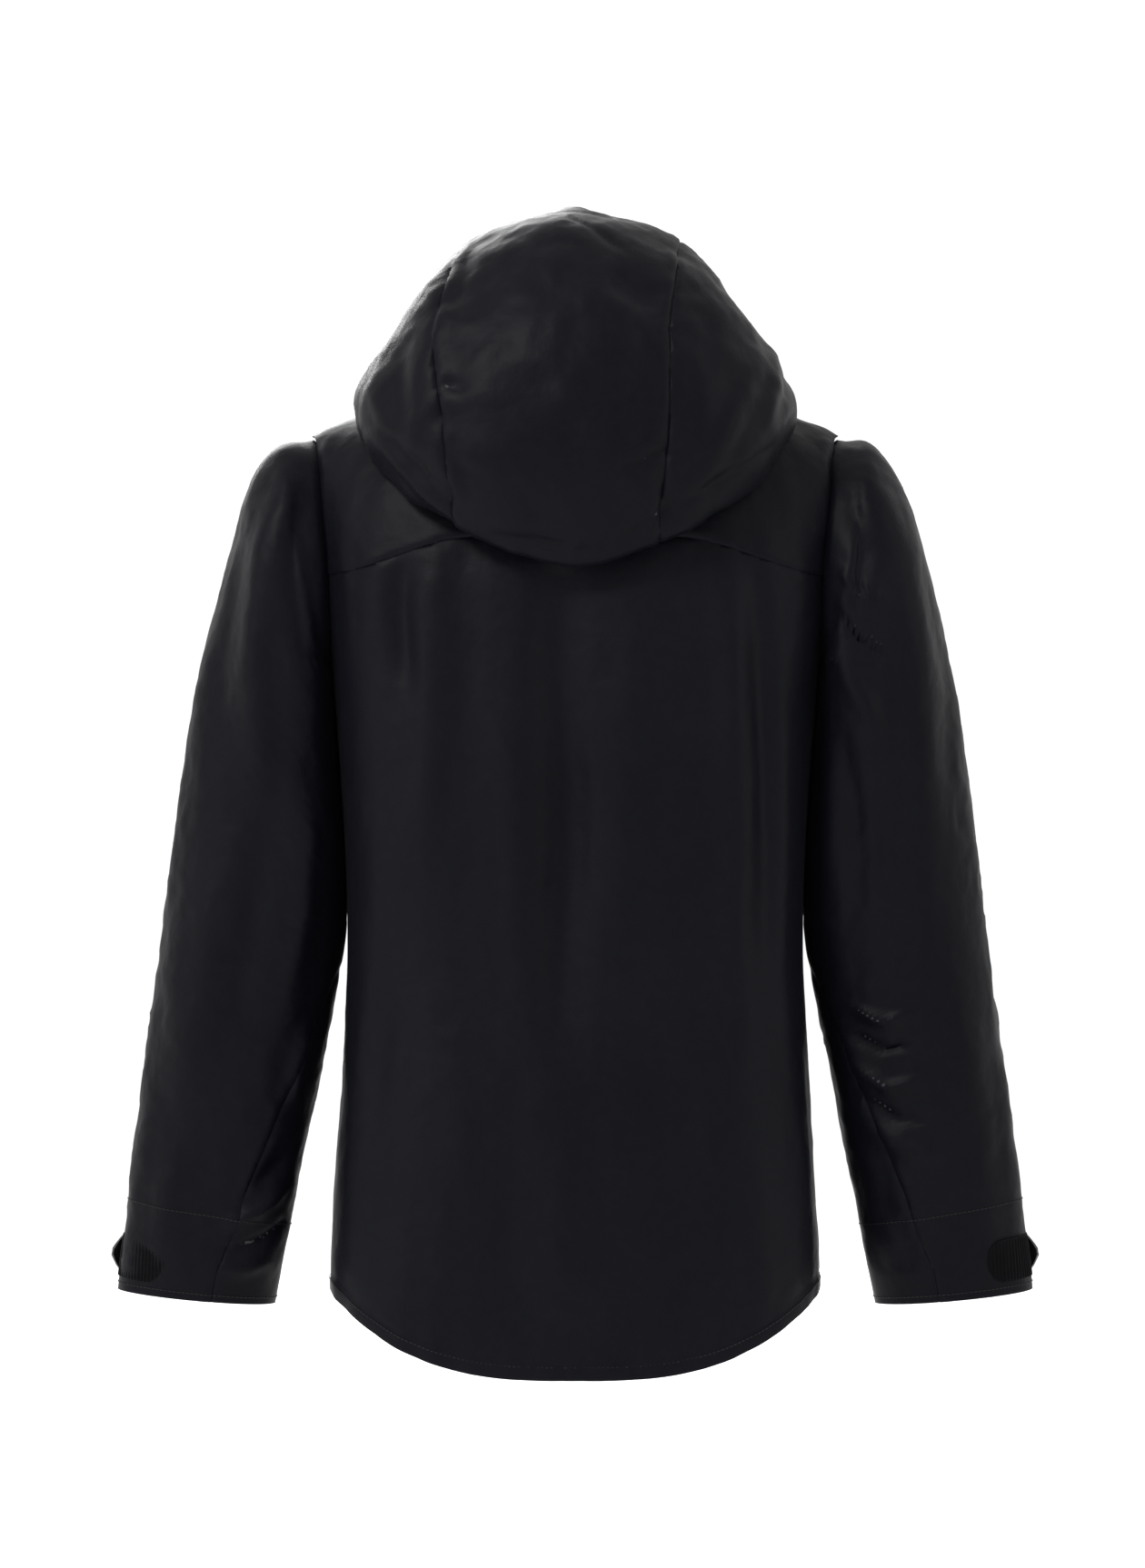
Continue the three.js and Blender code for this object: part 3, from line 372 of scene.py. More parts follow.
class HoodForm(Form):
    """The hood; u turns from the front over the left to the back (0.5), v climbs from neck to crown."""

    turn = -1
    OUTLINES = np.array([
        [[72.4, 734], [86, 748], [113, 682], [135, 588], [170, 650], [164, 752], [106, 834], [6, 861]],
        [[75.62, 732.17], [92, 751], [138, 702], [161, 634], [184, 690], [158, 768], [98, 830], [6, 861]],
        [[83.4, 732], [91, 752], [134, 738], [160, 716], [157, 729], [122, 772], [80, 826], [6, 861]],
        [[99.04, 687.4], [99, 738], [122, 748], [140, 746], [140, 758], [120, 790], [84, 830], [6, 861]],
        [[111.24, 656.5], [112, 690], [111, 725], [110, 758], [110, 788], [108, 818], [82, 848], [6, 861]],
    ])

    def point(self, u: Array, v: Array) -> Array:
        """The point at a place."""
        turn = u * 2 * np.pi - np.pi
        angle = np.arctan2(np.sin(turn), np.cos(turn))
        key = np.abs(angle) / np.pi * 4
        k = np.minimum(3, key.astype(int))
        f = (key - k)[:, None, None]
        index = [np.abs(k + n) for n in (-1, 0, 1, 2)]
        p0, p1, p2, p3 = (self.OUTLINES[np.where(i > 4, 8 - i, i)] for i in index)
        m1, m2 = (p2 - p0) / 2, (p3 - p1) / 2
        points = ((2 * f**3 - 3 * f * f + 1) * p1 + (f**3 - 2 * f * f + f) * m1
                  + (3 * f * f - 2 * f**3) * p2 + (f**3 - f * f) * m2)
        at = curve_through(points, v, True)
        return np.stack([at[:, 0] * np.sin(angle), at[:, 0] * np.cos(angle), at[:, 1]], axis=1)

    def face_edge(self, angle: Array, grow: float, depth: float) -> Array:
        """Points of the face opening's edge, grown outwards and sunk below the surface."""
        x = (FACE_HALF[0] + grow) * np.cos(angle)
        z = FACE_HEIGHT + (FACE_HALF[1] + grow) * np.sin(angle)
        u = -np.arctan2(x, 110) / (2 * np.pi)
        v = np.full_like(u, 0.6)
        for _ in range(12):
            here = self.point(u, v)
            du = (self.point(u + 1e-3, v) - here) * 1e3
            dv = (self.point(u, v + 1e-3) - here) * 1e3
            det = du[:, 0] * dv[:, 2] - dv[:, 0] * du[:, 2]
            ex, ez = x - here[:, 0], z - here[:, 2]
            u = u + (ex * dv[:, 2] - dv[:, 0] * ez) / det
            v = np.clip(v + (du[:, 0] * ez - ex * du[:, 2]) / det, 0, 1)
        return self.sunk(u, v, depth)


class SleeveForm(Form):
    """A sleeve; u turns round it from its outer line over its back, v runs from armhole to cuff."""

    def __init__(self, side: Side, body: BodyForm) -> None:
        """Lays the sleeve's outer and inner lines beside the body."""
        self.side = side.value
        self.turn = -side.value
        self.body = body
        reach = body.side_reach(np.zeros(2), np.array([684.0, 508.0]))
        beside = [(float(body.half_width(h)) + 2.2, h) for h in (484, 430, 345)]
        self.outer = np.array([(reach[0] - 2, 688.0), (225, 680), (253, 628), (284, 500), (310, 307.79),
                               (343, 53)])
        self.inner = np.array([(reach[1] + 0.5, 510.0), *beside, (183, 258.62), (225, 42)])
        self.depths = spline_table([(0, 52.4), (0.07, 63), (0.2, 75), (0.45, 71), (0.75, 58), (1, 41)])

    def line(self, points: Array, v: Array) -> Array:
        """Places on the outer or the inner line."""
        return curve_through(np.repeat(points[None], len(v), 0), v, False)

    def point(self, u: Array, v: Array) -> Array:
        """The point at a place."""
        v = np.clip(v, 0, 1)
        outer, inner = self.line(self.outer, v), self.line(self.inner, v)
        turn = u * 2 * np.pi
        at = (outer + inner) / 2 + (outer - inner) / 2 * np.cos(turn)[:, None]
        y = np.interp(v, *self.depths) * np.sin(turn) - 16 * v * v
        near = 1 - smooth(0.01, 0.13, v)
        tuck = 4.5 * (1 - smooth(0, 0.025, v))
        beside = self.body.side_reach(y, at[:, 1]) + 0.3
        x = at[:, 0] + (beside - at[:, 0]) * near - np.where(near > 0, tuck, 0)
        return np.stack([x * self.side, y, at[:, 1]], axis=1)


BODY = BodyForm()
HOOD = HoodForm()


# ------------------------------------------------------------------ cloth meshes
@dataclass
class Web:
    """An open cloth surface.

    Attributes:
        points: Garment millimetres.
        normals: Outward directions.
        grain: Places along the weft and the warp, in millimetres.
        faces: Corner numbers of each face.
    """

    points: Array
    normals: Array
    grain: Array
    faces: list[tuple[int, ...]]

    def keep(self, side: Array) -> "Web":
        """The part where a value given at each point is above 0, with its edge on the line where it is 0."""
        inside = side > 0
        points, normals, grain = list(self.points), list(self.normals), list(self.grain)
        made: dict[tuple[int, int], int] = {}

        def crossing(a: int, b: int) -> int:
            """The point where an edge crosses the line."""
            key = (min(a, b), max(a, b))
            if key not in made:
                t = side[key[0]] / (side[key[0]] - side[key[1]])
                for store in (points, normals, grain):
                    store.append(store[key[0]] + (store[key[1]] - store[key[0]]) * t)
                made[key] = len(points) - 1
            return made[key]

        faces: list[tuple[int, ...]] = []
        for face in self.faces:
            held = [inside[i] for i in face]
            if all(held):
                faces.append(face)
            elif any(held):
                ring: list[int] = []
                for a, b in zip(face, face[1:] + face[:1]):
                    if inside[a]:
                        ring.append(a)
                    if inside[a] != inside[b]:
                        ring.append(crossing(a, b))
                if len(ring) > 2:
                    faces.append(tuple(ring))
        return Web(np.array(points), np.array(normals), np.array(grain), faces).packed()

    def packed(self) -> "Web":
        """The same surface without points that no face uses."""
        used = np.unique(np.concatenate([np.array(f) for f in self.faces]))
        place = np.full(len(self.points), -1)
        place[used] = np.arange(len(used))
        faces = [tuple(int(place[i]) for i in f) for f in self.faces]
        return Web(self.points[used], self.normals[used], self.grain[used], faces)

    def shaped(self, relief: Relief) -> "Web":
        """The surface moved out along its normals by a relief in millimetres."""
        moved = self.points + self.normals * relief(self.points)[:, None]
        return Web(moved, self.normals, self.grain, self.faces)


def quads(rows: int, cols: int, round_it: bool = False) -> list[tuple[int, ...]]:
    """The faces of a grid of points; round_it joins its last column to its first."""
    spans = cols if round_it else cols - 1
    return [(r * cols + c, r * cols + (c + 1) % cols, (r + 1) * cols + (c + 1) % cols, (r + 1) * cols + c)
            for r in range(rows - 1) for c in range(spans)]


def grid(form: Form, us: Array, vs: Array, round_it: bool = False) -> Web:
    """A cloth grid over a form.

    Args:
        form: The surface.
        us: Places across.
        vs: Places along.
        round_it: Whether the last column joins the first.

    Returns:
        The open surface.
    """
    u, v = np.meshgrid(us, vs)
    points = form.point(u.ravel(), v.ravel())
    normals = form.normal(u.ravel(), v.ravel())
    rows, cols = u.shape
    net = points.reshape(rows, cols, 3)
    warp = np.cumsum(np.linalg.norm(np.diff(net, axis=0, prepend=net[:1]), axis=2), axis=0)
    weft = np.cumsum(np.linalg.norm(np.diff(net, axis=1, prepend=net[:, :1]), axis=2), axis=1)
    grain = np.stack([weft.ravel(), warp.ravel()], axis=1)
    return Web(points, normals, grain, quads(rows, cols, round_it))


def closed_cloth(web: Web, thick: float) -> tuple[Array, list[tuple[int, ...]], list[int], Array]:
    """A cloth surface with its inner face and its cut edges.

    Args:
        web: The open surface, which becomes the outer face.
        thick: Thickness in millimetres.

    Returns:
        Points, faces, each face's material place (0 outside and edges, 1 inside) and the grain.
    """
    count = len(web.points)
    a, b, c = (web.points[[f[k] for f in web.faces]] for k in (0, 1, 2))
    turned = (np.cross(b - a, c - a) * web.normals[[f[0] for f in web.faces]]).sum() < 0
    outer = [tuple(reversed(f)) if turned else f for f in web.faces]
    edges = {(p, q) for f in outer for p, q in zip(f, f[1:] + f[:1])}
    rim = [(q, p, p + count, q + count) for p, q in edges if (q, p) not in edges]
    inner = [tuple(i + count for i in reversed(f)) for f in outer]
    points = np.concatenate([web.points, web.points - web.normals * thick])
    marks = [0] * len(outer) + [1] * len(inner) + [0] * len(rim)
    return points, outer + inner + sorted(rim), marks, np.concatenate([web.grain, web.grain])


def make_piece(name: str, points: Array, faces: Sequence[tuple[int, ...]],
               looks: Sequence[bpy.types.Material], marks: Sequence[int] = (),
               grain: Array | None = None, crisp: float = 0.7) -> bpy.types.Object:
    """A mesh object from garment millimetres.

    Args:
        name: The piece's name.
        points: Garment millimetres.
        faces: Corner numbers.
        looks: Materials.
        marks: Each face's material place.
        grain: Weft and warp places in millimetres.
        crisp: Edges sharper than this angle, in radians, stay crisp.

    Returns:
        The object, in the scene.
    """
    mesh = bpy.data.meshes.new(name)
    mesh.from_pydata(in_row(points).tolist(), [], [tuple(f) for f in faces])
    for look in looks:
        mesh.materials.append(look)
    if len(marks):
        mesh.polygons.foreach_set("material_index", np.array(marks, np.int32))
    if grain is not None:
        layer = mesh.attributes.new("grain", "FLOAT_VECTOR", "POINT")
        flat = np.column_stack([grain * MM, np.zeros(len(grain))]).astype(np.float32)
        layer.data.foreach_set("vector", flat.ravel())
    mesh.validate()
    mesh.shade_smooth()
    mesh.set_sharp_from_angle(angle=crisp)
    made = bpy.data.objects.new(name, mesh)
    bpy.context.scene.collection.objects.link(made)
    return made


def cloth_piece(name: str, web: Web, looks: Sequence[bpy.types.Material],
                thick: float = CLOTH) -> bpy.types.Object:
    """A cloth piece with two faces from an open surface."""
    points, faces, marks, grain = closed_cloth(web, thick)
    return make_piece(name, points, faces, looks, marks, grain, crisp=1.2)


def stitch_row(name: str, path: Array, normals: Array, look: bpy.types.Material,
               pitch: float = 3.4, thick: float = 0.42) -> bpy.types.Object:
    """A row of lockstitches along a path on the cloth.

    Args:
        name: The piece's name.
        path: Points in millimetres.
        normals: The cloth's outward direction at each point.
        look: The thread's material.
        pitch: Stitch length.
        thick: Thread thickness.

    Returns:
        One mesh that holds every stitch.
    """
    run = np.concatenate([[0], np.cumsum(np.linalg.norm(np.diff(path, axis=0), axis=1))])
    places = np.arange(pitch / 2, run[-1], pitch)
    at = np.stack([np.interp(places, run, path[:, k]) for k in range(3)], axis=1)
    ahead = np.stack([np.interp(places + 0.5, run, path[:, k]) for k in range(3)], axis=1)
    out = unit(np.stack([np.interp(places, run, normals[:, k]) for k in range(3)], axis=1))
    along = unit(ahead - at + 1e-9)
    across = unit(np.cross(along, out))
    points: list[Array] = []
    faces: list[tuple[int, ...]] = []
    rings = ((-0.40, 0.35, -0.25), (-0.2, 1.0, 0.45), (0.2, 1.0, 0.45), (0.40, 0.35, -0.25))
    for p, a, c, n in zip(at, along, across, out):
        base = len(points)
        for shift, size, lift in rings:
            for turn in (0.25, 0.75, 1.25, 1.75):
                points.append(p + a * shift * pitch + (c * math.cos(turn * math.pi) * size
                              + n * (math.sin(turn * math.pi) * size * 0.7 + lift)) * thick)
        for r in range(3):
            for k in range(4):
                i, j = base + r * 4 + k, base + r * 4 + (k + 1) % 4
                faces.append((i, j, j + 4, i + 4))
        faces.append(tuple(base + k for k in (3, 2, 1, 0)))
        faces.append(tuple(base + 12 + k for k in range(4)))
    return make_piece(name, np.array(points), faces, [look])


# ------------------------------------------------------------------ finishes
class Nodes:
    """A small hand for building a material's nodes."""

    def __init__(self, name: str) -> None:
        """Starts a material with its shader."""
        self.material = bpy.data.materials.new(name)
        self.material.use_nodes = True
        self.tree = self.material.node_tree
        self.shader = self.tree.nodes["Principled BSDF"]

    def add(self, kind: str, **settings: object) -> bpy.types.Node:
        """A node of a kind, with settings on it or, where they are sockets, on its inputs."""
        node = self.tree.nodes.new(kind)
        for key, value in settings.items():
            if hasattr(node, key):
                setattr(node, key, value)
            else:
                socket = key if key in node.inputs else key.replace("_", " ").title()
                node.inputs[socket].default_value = value
        return node

    def link(self, source: bpy.types.NodeSocket, target: bpy.types.NodeSocket) -> None:
        """Joins two sockets."""
        self.tree.links.new(source, target)

    def noise(self, where: bpy.types.NodeSocket, scale: float, detail: float = 3.0) -> bpy.types.NodeSocket:
        """A noise value at a place."""
        node = self.add("ShaderNodeTexNoise")
        node.inputs["Scale"].default_value = scale
        node.inputs["Detail"].default_value = detail
        self.link(where, node.inputs["Vector"])
        return node.outputs["Fac"]

    def ramp(self, value: bpy.types.NodeSocket, low: float, high: float, dark: Sequence[float],
             light: Sequence[float]) -> bpy.types.NodeSocket:
        """A colour that goes from dark at low to light at high."""
        node = self.add("ShaderNodeValToRGB")
        for element, place, colour in zip(node.color_ramp.elements, (low, high), (dark, light)):
            element.position = place
            element.color = (*colour, 1)
        self.link(value, node.inputs["Fac"])
        return node.outputs["Color"]

    def mapped(self, value: bpy.types.NodeSocket, low: float, high: float) -> bpy.types.NodeSocket:
        """A value from 0..1 spread over low..high."""
        node = self.add("ShaderNodeMapRange")
        node.inputs["To Min"].default_value = low
        node.inputs["To Max"].default_value = high
        self.link(value, node.inputs["Value"])
        return node.outputs["Result"]

    def math(self, operation: str, a: bpy.types.NodeSocket,
             b: bpy.types.NodeSocket | float) -> bpy.types.NodeSocket:
        """Two values joined by an operation."""
        node = self.add("ShaderNodeMath", operation=operation)
        self.link(a, node.inputs[0])
        if isinstance(b, (int, float)):
            node.inputs[1].default_value = b
        else:
            self.link(b, node.inputs[1])
        return node.outputs[0]

    def bumped(self, layers: Sequence[tuple[bpy.types.NodeSocket, float, float]]) -> None:
        """Adds layers of bump, each a height socket with its strength and its distance in metres."""
        last = None
        for height, strength, distance in layers:
            node = self.add("ShaderNodeBump")
            node.inputs["Strength"].default_value = strength
            node.inputs["Distance"].default_value = distance
            self.link(height, node.inputs["Height"])
            if last is not None:
                self.link(last, node.inputs["Normal"])
            last = node.outputs["Normal"]
        self.link(last, self.shader.inputs["Normal"])


@dataclass(frozen=True)
class WovenFinish:
    """A woven or knitted cloth.

    Attributes:
        name: The material's name.
        dark: Colour in the weave's hollows.
        light: Colour on its crowns.
        rough: Lowest and highest roughness.
        gloss: The shader's specular level.
        sheen: Weight of the fibres' sheen.
        pitch: Yarn spacing in metres.
        crease: Strength of the fine creases' bump.
    """

    name: str
    dark: tuple[float, float, float]
    light: tuple[float, float, float]
    rough: tuple[float, float]
    gloss: float
    sheen: float
    pitch: float = 0.0009
    crease: float = 0.25

    def build(self) -> bpy.types.Material:
        """The material, with weave, fine creases, colour variation and worn edges."""
        n = Nodes(self.name)
        grain = n.add("ShaderNodeAttribute", attribute_name="grain").outputs["Vector"]
        place = n.add("ShaderNodeTexCoord").outputs["Object"]
        yarns = []
        for direction in ("X", "Y"):
            wave = n.add("ShaderNodeTexWave", wave_type="BANDS", bands_direction=direction)
            wave.inputs["Scale"].default_value = 0.314 / self.pitch
            wave.inputs["Distortion"].default_value = 0.6
            wave.inputs["Detail Scale"].default_value = 2.0
            n.link(grain, wave.inputs["Vector"])
            yarns.append(wave.outputs["Fac"])
        weave = n.math("MULTIPLY", yarns[0], yarns[1])
        patches = n.noise(place, 9.0, 4.0)
        mottle = n.noise(place, 140.0, 2.0)
        mixed = n.math("ADD", n.math("MULTIPLY", patches, 0.55), n.math("MULTIPLY", mottle, 0.3))
        value = n.math("ADD", mixed, n.math("MULTIPLY", weave, 0.15))
        colour = n.ramp(value, 0.3, 0.72, self.dark, self.light)
        worn = n.add("ShaderNodeNewGeometry").outputs["Pointiness"]
        edge = n.ramp(worn, 0.54, 0.62, (0, 0, 0), (1, 1, 1))
        blend = n.add("ShaderNodeMix", data_type="RGBA", blend_type="ADD")
        n.link(n.math("MULTIPLY", edge, 0.25), blend.inputs["Factor"])
        n.link(colour, blend.inputs["A"])
        blend.inputs["B"].default_value = (*[1.4 * c for c in self.light], 1)
        n.link(blend.outputs["Result"], n.shader.inputs["Base Color"])
        n.link(n.mapped(mixed, *self.rough), n.shader.inputs["Roughness"])
        n.shader.inputs["Specular IOR Level"].default_value = self.gloss
        n.shader.inputs["Sheen Weight"].default_value = self.sheen
        n.shader.inputs["Sheen Roughness"].default_value = 0.45
        creases = n.noise(place, 42.0, 5.0)
        fine = n.noise(place, 230.0, 2.0)
        n.bumped([(creases, self.crease, 0.004), (fine, 0.12, 0.0008), (weave, 0.18, 0.00025)])
        return n.material


@dataclass(frozen=True)
class MouldedFinish:
    """Moulded plastic, rubber or lacquered metal with a fine grain and rubbed edges.

    Attributes:
        name: The material's name.
        colour: Base colour.
        rubbed: Colour where edges have been rubbed.
        rough: Lowest and highest roughness.
        metal: The shader's metallic value.
        grain: Spacing of the moulded grain, in features per metre.
    """

    name: str
    colour: tuple[float, float, float]
    rubbed: tuple[float, float, float]
    rough: tuple[float, float]
    metal: float = 0.0
    grain: float = 900.0

    def build(self) -> bpy.types.Material:
        """The material."""
        n = Nodes(self.name)
        place = n.add("ShaderNodeTexCoord").outputs["Object"]
        patches = n.noise(place, 60.0, 4.0)
        grain = n.noise(place, self.grain, 2.0)
        worn = n.add("ShaderNodeNewGeometry").outputs["Pointiness"]
        edge = n.math("ADD", worn, n.math("MULTIPLY", patches, 0.04))
        n.link(n.ramp(edge, 0.53, 0.62, self.colour, self.rubbed), n.shader.inputs["Base Color"])
        n.link(n.mapped(patches, *self.rough), n.shader.inputs["Roughness"])
        n.shader.inputs["Metallic"].default_value = self.metal
        n.bumped([(grain, 0.2, 0.0002), (patches, 0.05, 0.001)])
        return n.material


SHELL = WovenFinish("shell_laminate", (0.0016, 0.0017, 0.003), (0.0031, 0.0032, 0.0051), (0.4, 0.52),
                    0.06, 0.004)
LINING = WovenFinish("tricot_lining", (0.02, 0.021, 0.025), (0.034, 0.035, 0.041), (0.75, 0.9),
                     0.15, 0.05, pitch=0.0013)
TAPE = WovenFinish("zip_tape", (0.002, 0.002, 0.003), (0.005, 0.005, 0.0065), (0.5, 0.65),
                   0.15, 0.01, pitch=0.0007, crease=0.05)
PILE = WovenFinish("hook_and_loop_pile", (0.0012, 0.0012, 0.0016), (0.0034, 0.0034, 0.0042), (0.85, 0.98),
                   0.05, 0.02, pitch=0.0006, crease=0.4)
CORD = WovenFinish("braided_cord", (0.003, 0.003, 0.004), (0.009, 0.009, 0.011), (0.6, 0.8),
                   0.2, 0.03, pitch=0.0011, crease=0.1)
THREAD = WovenFinish("sewing_thread", (0.003, 0.003, 0.0045), (0.007, 0.007, 0.009), (0.4, 0.55),
                     0.2, 0.03, pitch=0.0004, crease=0.05)
PLASTIC = MouldedFinish("moulded_plastic", (0.008, 0.008, 0.009), (0.03, 0.03, 0.032), (0.35, 0.55))
LACQUER = MouldedFinish("lacquered_metal", (0.02, 0.02, 0.022), (0.22, 0.21, 0.2), (0.28, 0.45), 0.85, 400.0)
STEEL = MouldedFinish("spring_wire", (0.45, 0.45, 0.46), (0.7, 0.7, 0.7), (0.2, 0.35), 1.0, 300.0)


@dataclass
class Wardrobe:
    """The finished materials, each built once."""

    shell: bpy.types.Material = field(default_factory=SHELL.build)
    lining: bpy.types.Material = field(default_factory=LINING.build)
    tape: bpy.types.Material = field(default_factory=TAPE.build)
    pile: bpy.types.Material = field(default_factory=PILE.build)
    cord: bpy.types.Material = field(default_factory=CORD.build)
    thread: bpy.types.Material = field(default_factory=THREAD.build)
    plastic: bpy.types.Material = field(default_factory=PLASTIC.build)
    lacquer: bpy.types.Material = field(default_factory=LACQUER.build)
    steel: bpy.types.Material = field(default_factory=STEEL.build)


def place_piece(piece: bpy.types.Object, body: Body, slot: str, *nodes: str) -> bpy.types.Object:
    """Puts a piece on a body, hides the frame nodes that it stands for, and reports it."""
    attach(piece, body.value)
    if nodes:
        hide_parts(*nodes)
    log.info("%s rides on %s", piece.name, body.value)
    return piece


# ------------------------------------------------------------------ the body of the jacket
def near_arm(points: Array) -> Array:
    """1 where the body's side lies by a hanging sleeve, so that neither bulges into the other."""
    side = smooth(140, 166, np.abs(points[:, 0]))
    return side * smooth(540, 500, points[:, 2]) * smooth(250, 300, points[:, 2])


@dataclass
class Torso:
    """Back, yoke and fronts, with their seams, hem and soft vertical folds."""

    wardrobe: Wardrobe
    spacing: float = 3.6
    hem_turn: float = 9.5
    fold_gain: float = 2.0
    back_folds: tuple[Fold, ...] = (
        Fold(((8, 604), (12, 520), (4, 400), (14, 240)), -5.5, 17),
        Fold(((44, 590), (46, 470), (40, 330), (36, 200)), 3.6, 22),
        Fold(((-36, 590), (-40, 440), (-34, 300)), 3.0, 24),
        Fold(((124, 604), (127, 560), (122, 500)), -3.4, 9),
        Fold(((104, 590), (104, 500), (112, 380)), 2.4, 15),
        Fold(((-130, 596), (-134, 540), (-140, 430), (-138, 300)), -3.2, 10),
        Fold(((-112, 590), (-116, 480), (-118, 340), (-124, 200)), 2.6, 14),
        Fold(((-152, 480), (-156, 360), (-150, 230)), 2.0, 9),
        Fold(((139, 330), (146, 200), (140, 70)), -2.4, 12),
        Fold(((90, 300), (84, 180), (96, 60)), 2.2, 24),
        Fold(((-60, 260), (-74, 150), (-66, 50)), -2.0, 26),
        Fold(((14, 230), (8, 120), (18, 40)), 1.8, 20),
    )

    def yoke_line(self, x: Array) -> Array:
        """Height of the yoke seam, a little higher at the middle of the back."""
        return 584 + 26 * smooth(187, 70, np.abs(x))

    def relief(self, points: Array) -> Array:
        """How far the cloth stands off its smooth form."""
        x, y, z = points.T
        seen = points[:, [0, 2]]
        back = smooth(0, 40, y)
        long_drape = points * np.array([1.0, 1.0, 0.3])
        drape = 1.5 * noise(long_drape, 42, 4) + 0.9 * noise(long_drape, 20, 11)
        texture = 0.35 * crumple(points, 30, 21) + 0.22 * crumple(points, 12, 31)
        quiet = 1 - near_arm(points)
        hem = BODY.HEM_RISE * np.where(y < 0, 1, np.minimum(1, np.abs(x) / 178) ** 3)
        edge = z - hem
        turned = 0.7 * smooth(self.hem_turn + 0.6, self.hem_turn - 0.4, edge)
        turned -= 0.9 * bell(edge - self.hem_turn, 1.0)
        ripple = 0.8 * noise(points * np.array([1, 1, 0.2]), 14, 41) * smooth(40, 6, edge)
        yoke = np.where(y > 0, felled_seam(z - self.yoke_line(x)), 0)
        sides = -0.9 * bell(y, 1.4) * (z < 508) * quiet
        below_hood = folded(seen, self.back_folds) * back * smooth(612, 580, z)
        armhole = 80 * (np.hypot(y / 53.5, (z - ARMHOLE_HEIGHT) / 93) - 1)
        sewn = (0.6 * bell(armhole - 6, 4) - 0.8 * bell(armhole, 2.2)) * (np.abs(x) > 120)
        free = drape + texture + self.fold_gain * below_hood + ripple
        return free * quiet + turned + yoke + sides + sewn

    def web(self, low: float, high: float) -> Web:
        """The cut cloth of the back or the front, without armholes and neck."""
        us = BODY.even(low + 1e-5, high - 1e-5, 0.3, int(500 / self.spacing), True)
        middle = (low + high) / 2
        vs = np.concatenate([BODY.even(0, BODY.BEND, middle, int(540 / self.spacing), False)[:-1],
                             BODY.even(BODY.BEND, 1, middle + 0.09, int(230 / self.spacing), False)])
        web = grid(BODY, us, vs)
        x, y, z = web.points.T
        arm = np.hypot(y / 53, (z - ARMHOLE_HEIGHT) / 92.4) - 1
        web = web.keep(np.where(np.abs(x) > 110, arm, 1))
        return web.keep(self.outside_neck(web.points))

    def outside_neck(self, points: Array) -> Array:
        """Above 0 outside the neck opening."""
        x, y, z = points.T
        angle = np.arctan2(x, y)
        front = np.maximum(0, -np.cos(angle)) ** 1.6
        back = np.maximum(0, np.cos(angle))
        radius = (86 + (75 - 86) * back) * (1 - front) + 112.1 * front
        height = 734 + (655 - 734) * front
        grown = radius + np.maximum(0, z - height) * 0.35 + np.minimum(0, z - height) * 0.23
        away = (np.hypot(x, y) - grown) / 20
        return np.where(z < height - 60, 1, np.maximum(away, (height - 60 - z) / 20))

    def build(self) -> None:
        """Makes the four panels and the hem's stitching."""
        looks = [self.wardrobe.shell, self.wardrobe.lining]
        back = self.web(0, 0.5)
        low = back.keep(self.yoke_line(back.points[:, 0]) - back.points[:, 2])
        high = back.keep(back.points[:, 2] - self.yoke_line(back.points[:, 0]))
        for name, web, size in (("back_panel", low, (0.53, 0.59)), ("back_yoke", high, (0.47, 0.23))):
            piece = cloth_piece(f"{name}_cloth", web.shaped(self.relief), looks)
            place_piece(piece, Body.JACKET, "shell_fabric", name)
        front = self.web(0.5, 1)
        for side in Side:
            half = front.keep(front.points[:, 0] * side.value - ZIP_CHANNEL)
            zip_place = PocketPlace(side)
            across, along = zip_place.local(half.points)[:, [0, 2]].T
            hole = np.maximum(np.abs(across) - 7.2, np.abs(along) - zip_place.half + 1)
            half = half.keep(np.where(half.points[:, 1] < 0, hole, 1))
            piece = cloth_piece(f"front_panel_{side.word}_cloth", half.shaped(self.front_relief), looks)
            place_piece(piece, Body.JACKET, "shell_fabric", f"front_panel_{side.word}")
        self.hem_stitches()

    def front_relief(self, points: Array) -> Array:
        """The relief of the fronts, which also lie down beside the zips."""
        relief = self.relief(points)
        by_zip = smooth(26, 11, np.abs(points[:, 0]))
        lip = 0.9 * bell(np.abs(points[:, 0]) - 13, 3.0)
        for side in Side:
            place = PocketPlace(side)
            across, _, along = place.local(points).T
            gap = np.maximum(np.abs(across) - 7.2, np.abs(along) - place.half)
            near = smooth(20, 4, gap) * (points[:, 1] < 0)
            relief = relief * (1 - 0.8 * near) + 0.8 * bell(gap - 2.5, 2.4) * (points[:, 1] < 0)
        return relief * (1 - 0.85 * by_zip) + lip

    def hem_stitches(self) -> None:
        """Sews the hem with one row of stitches round it."""
        rise = BODY.BEND * self.hem_turn / (BODY.DOME - BODY.HEM_RISE)
        us = BODY.even(0.762, 1.738, 0.1, 900, True)
        v = np.where(np.sin(us * 2 * np.pi) < 0, rise, 0)
        across = np.abs(np.cos(us * 2 * np.pi)) ** 2
        tail = BODY.HEM_RISE * across
        v = np.where(v > 0, v, BODY.BEND * self.hem_turn / (BODY.DOME - tail))
        points, normals = BODY.point(us, v), BODY.normal(us, v)
        path = points + normals * (self.relief(points) + 0.35)[:, None]
        stitches = stitch_row("hem_stitching", path, normals, self.wardrobe.thread)
        place_piece(stitches, Body.JACKET, "shell_fabric")


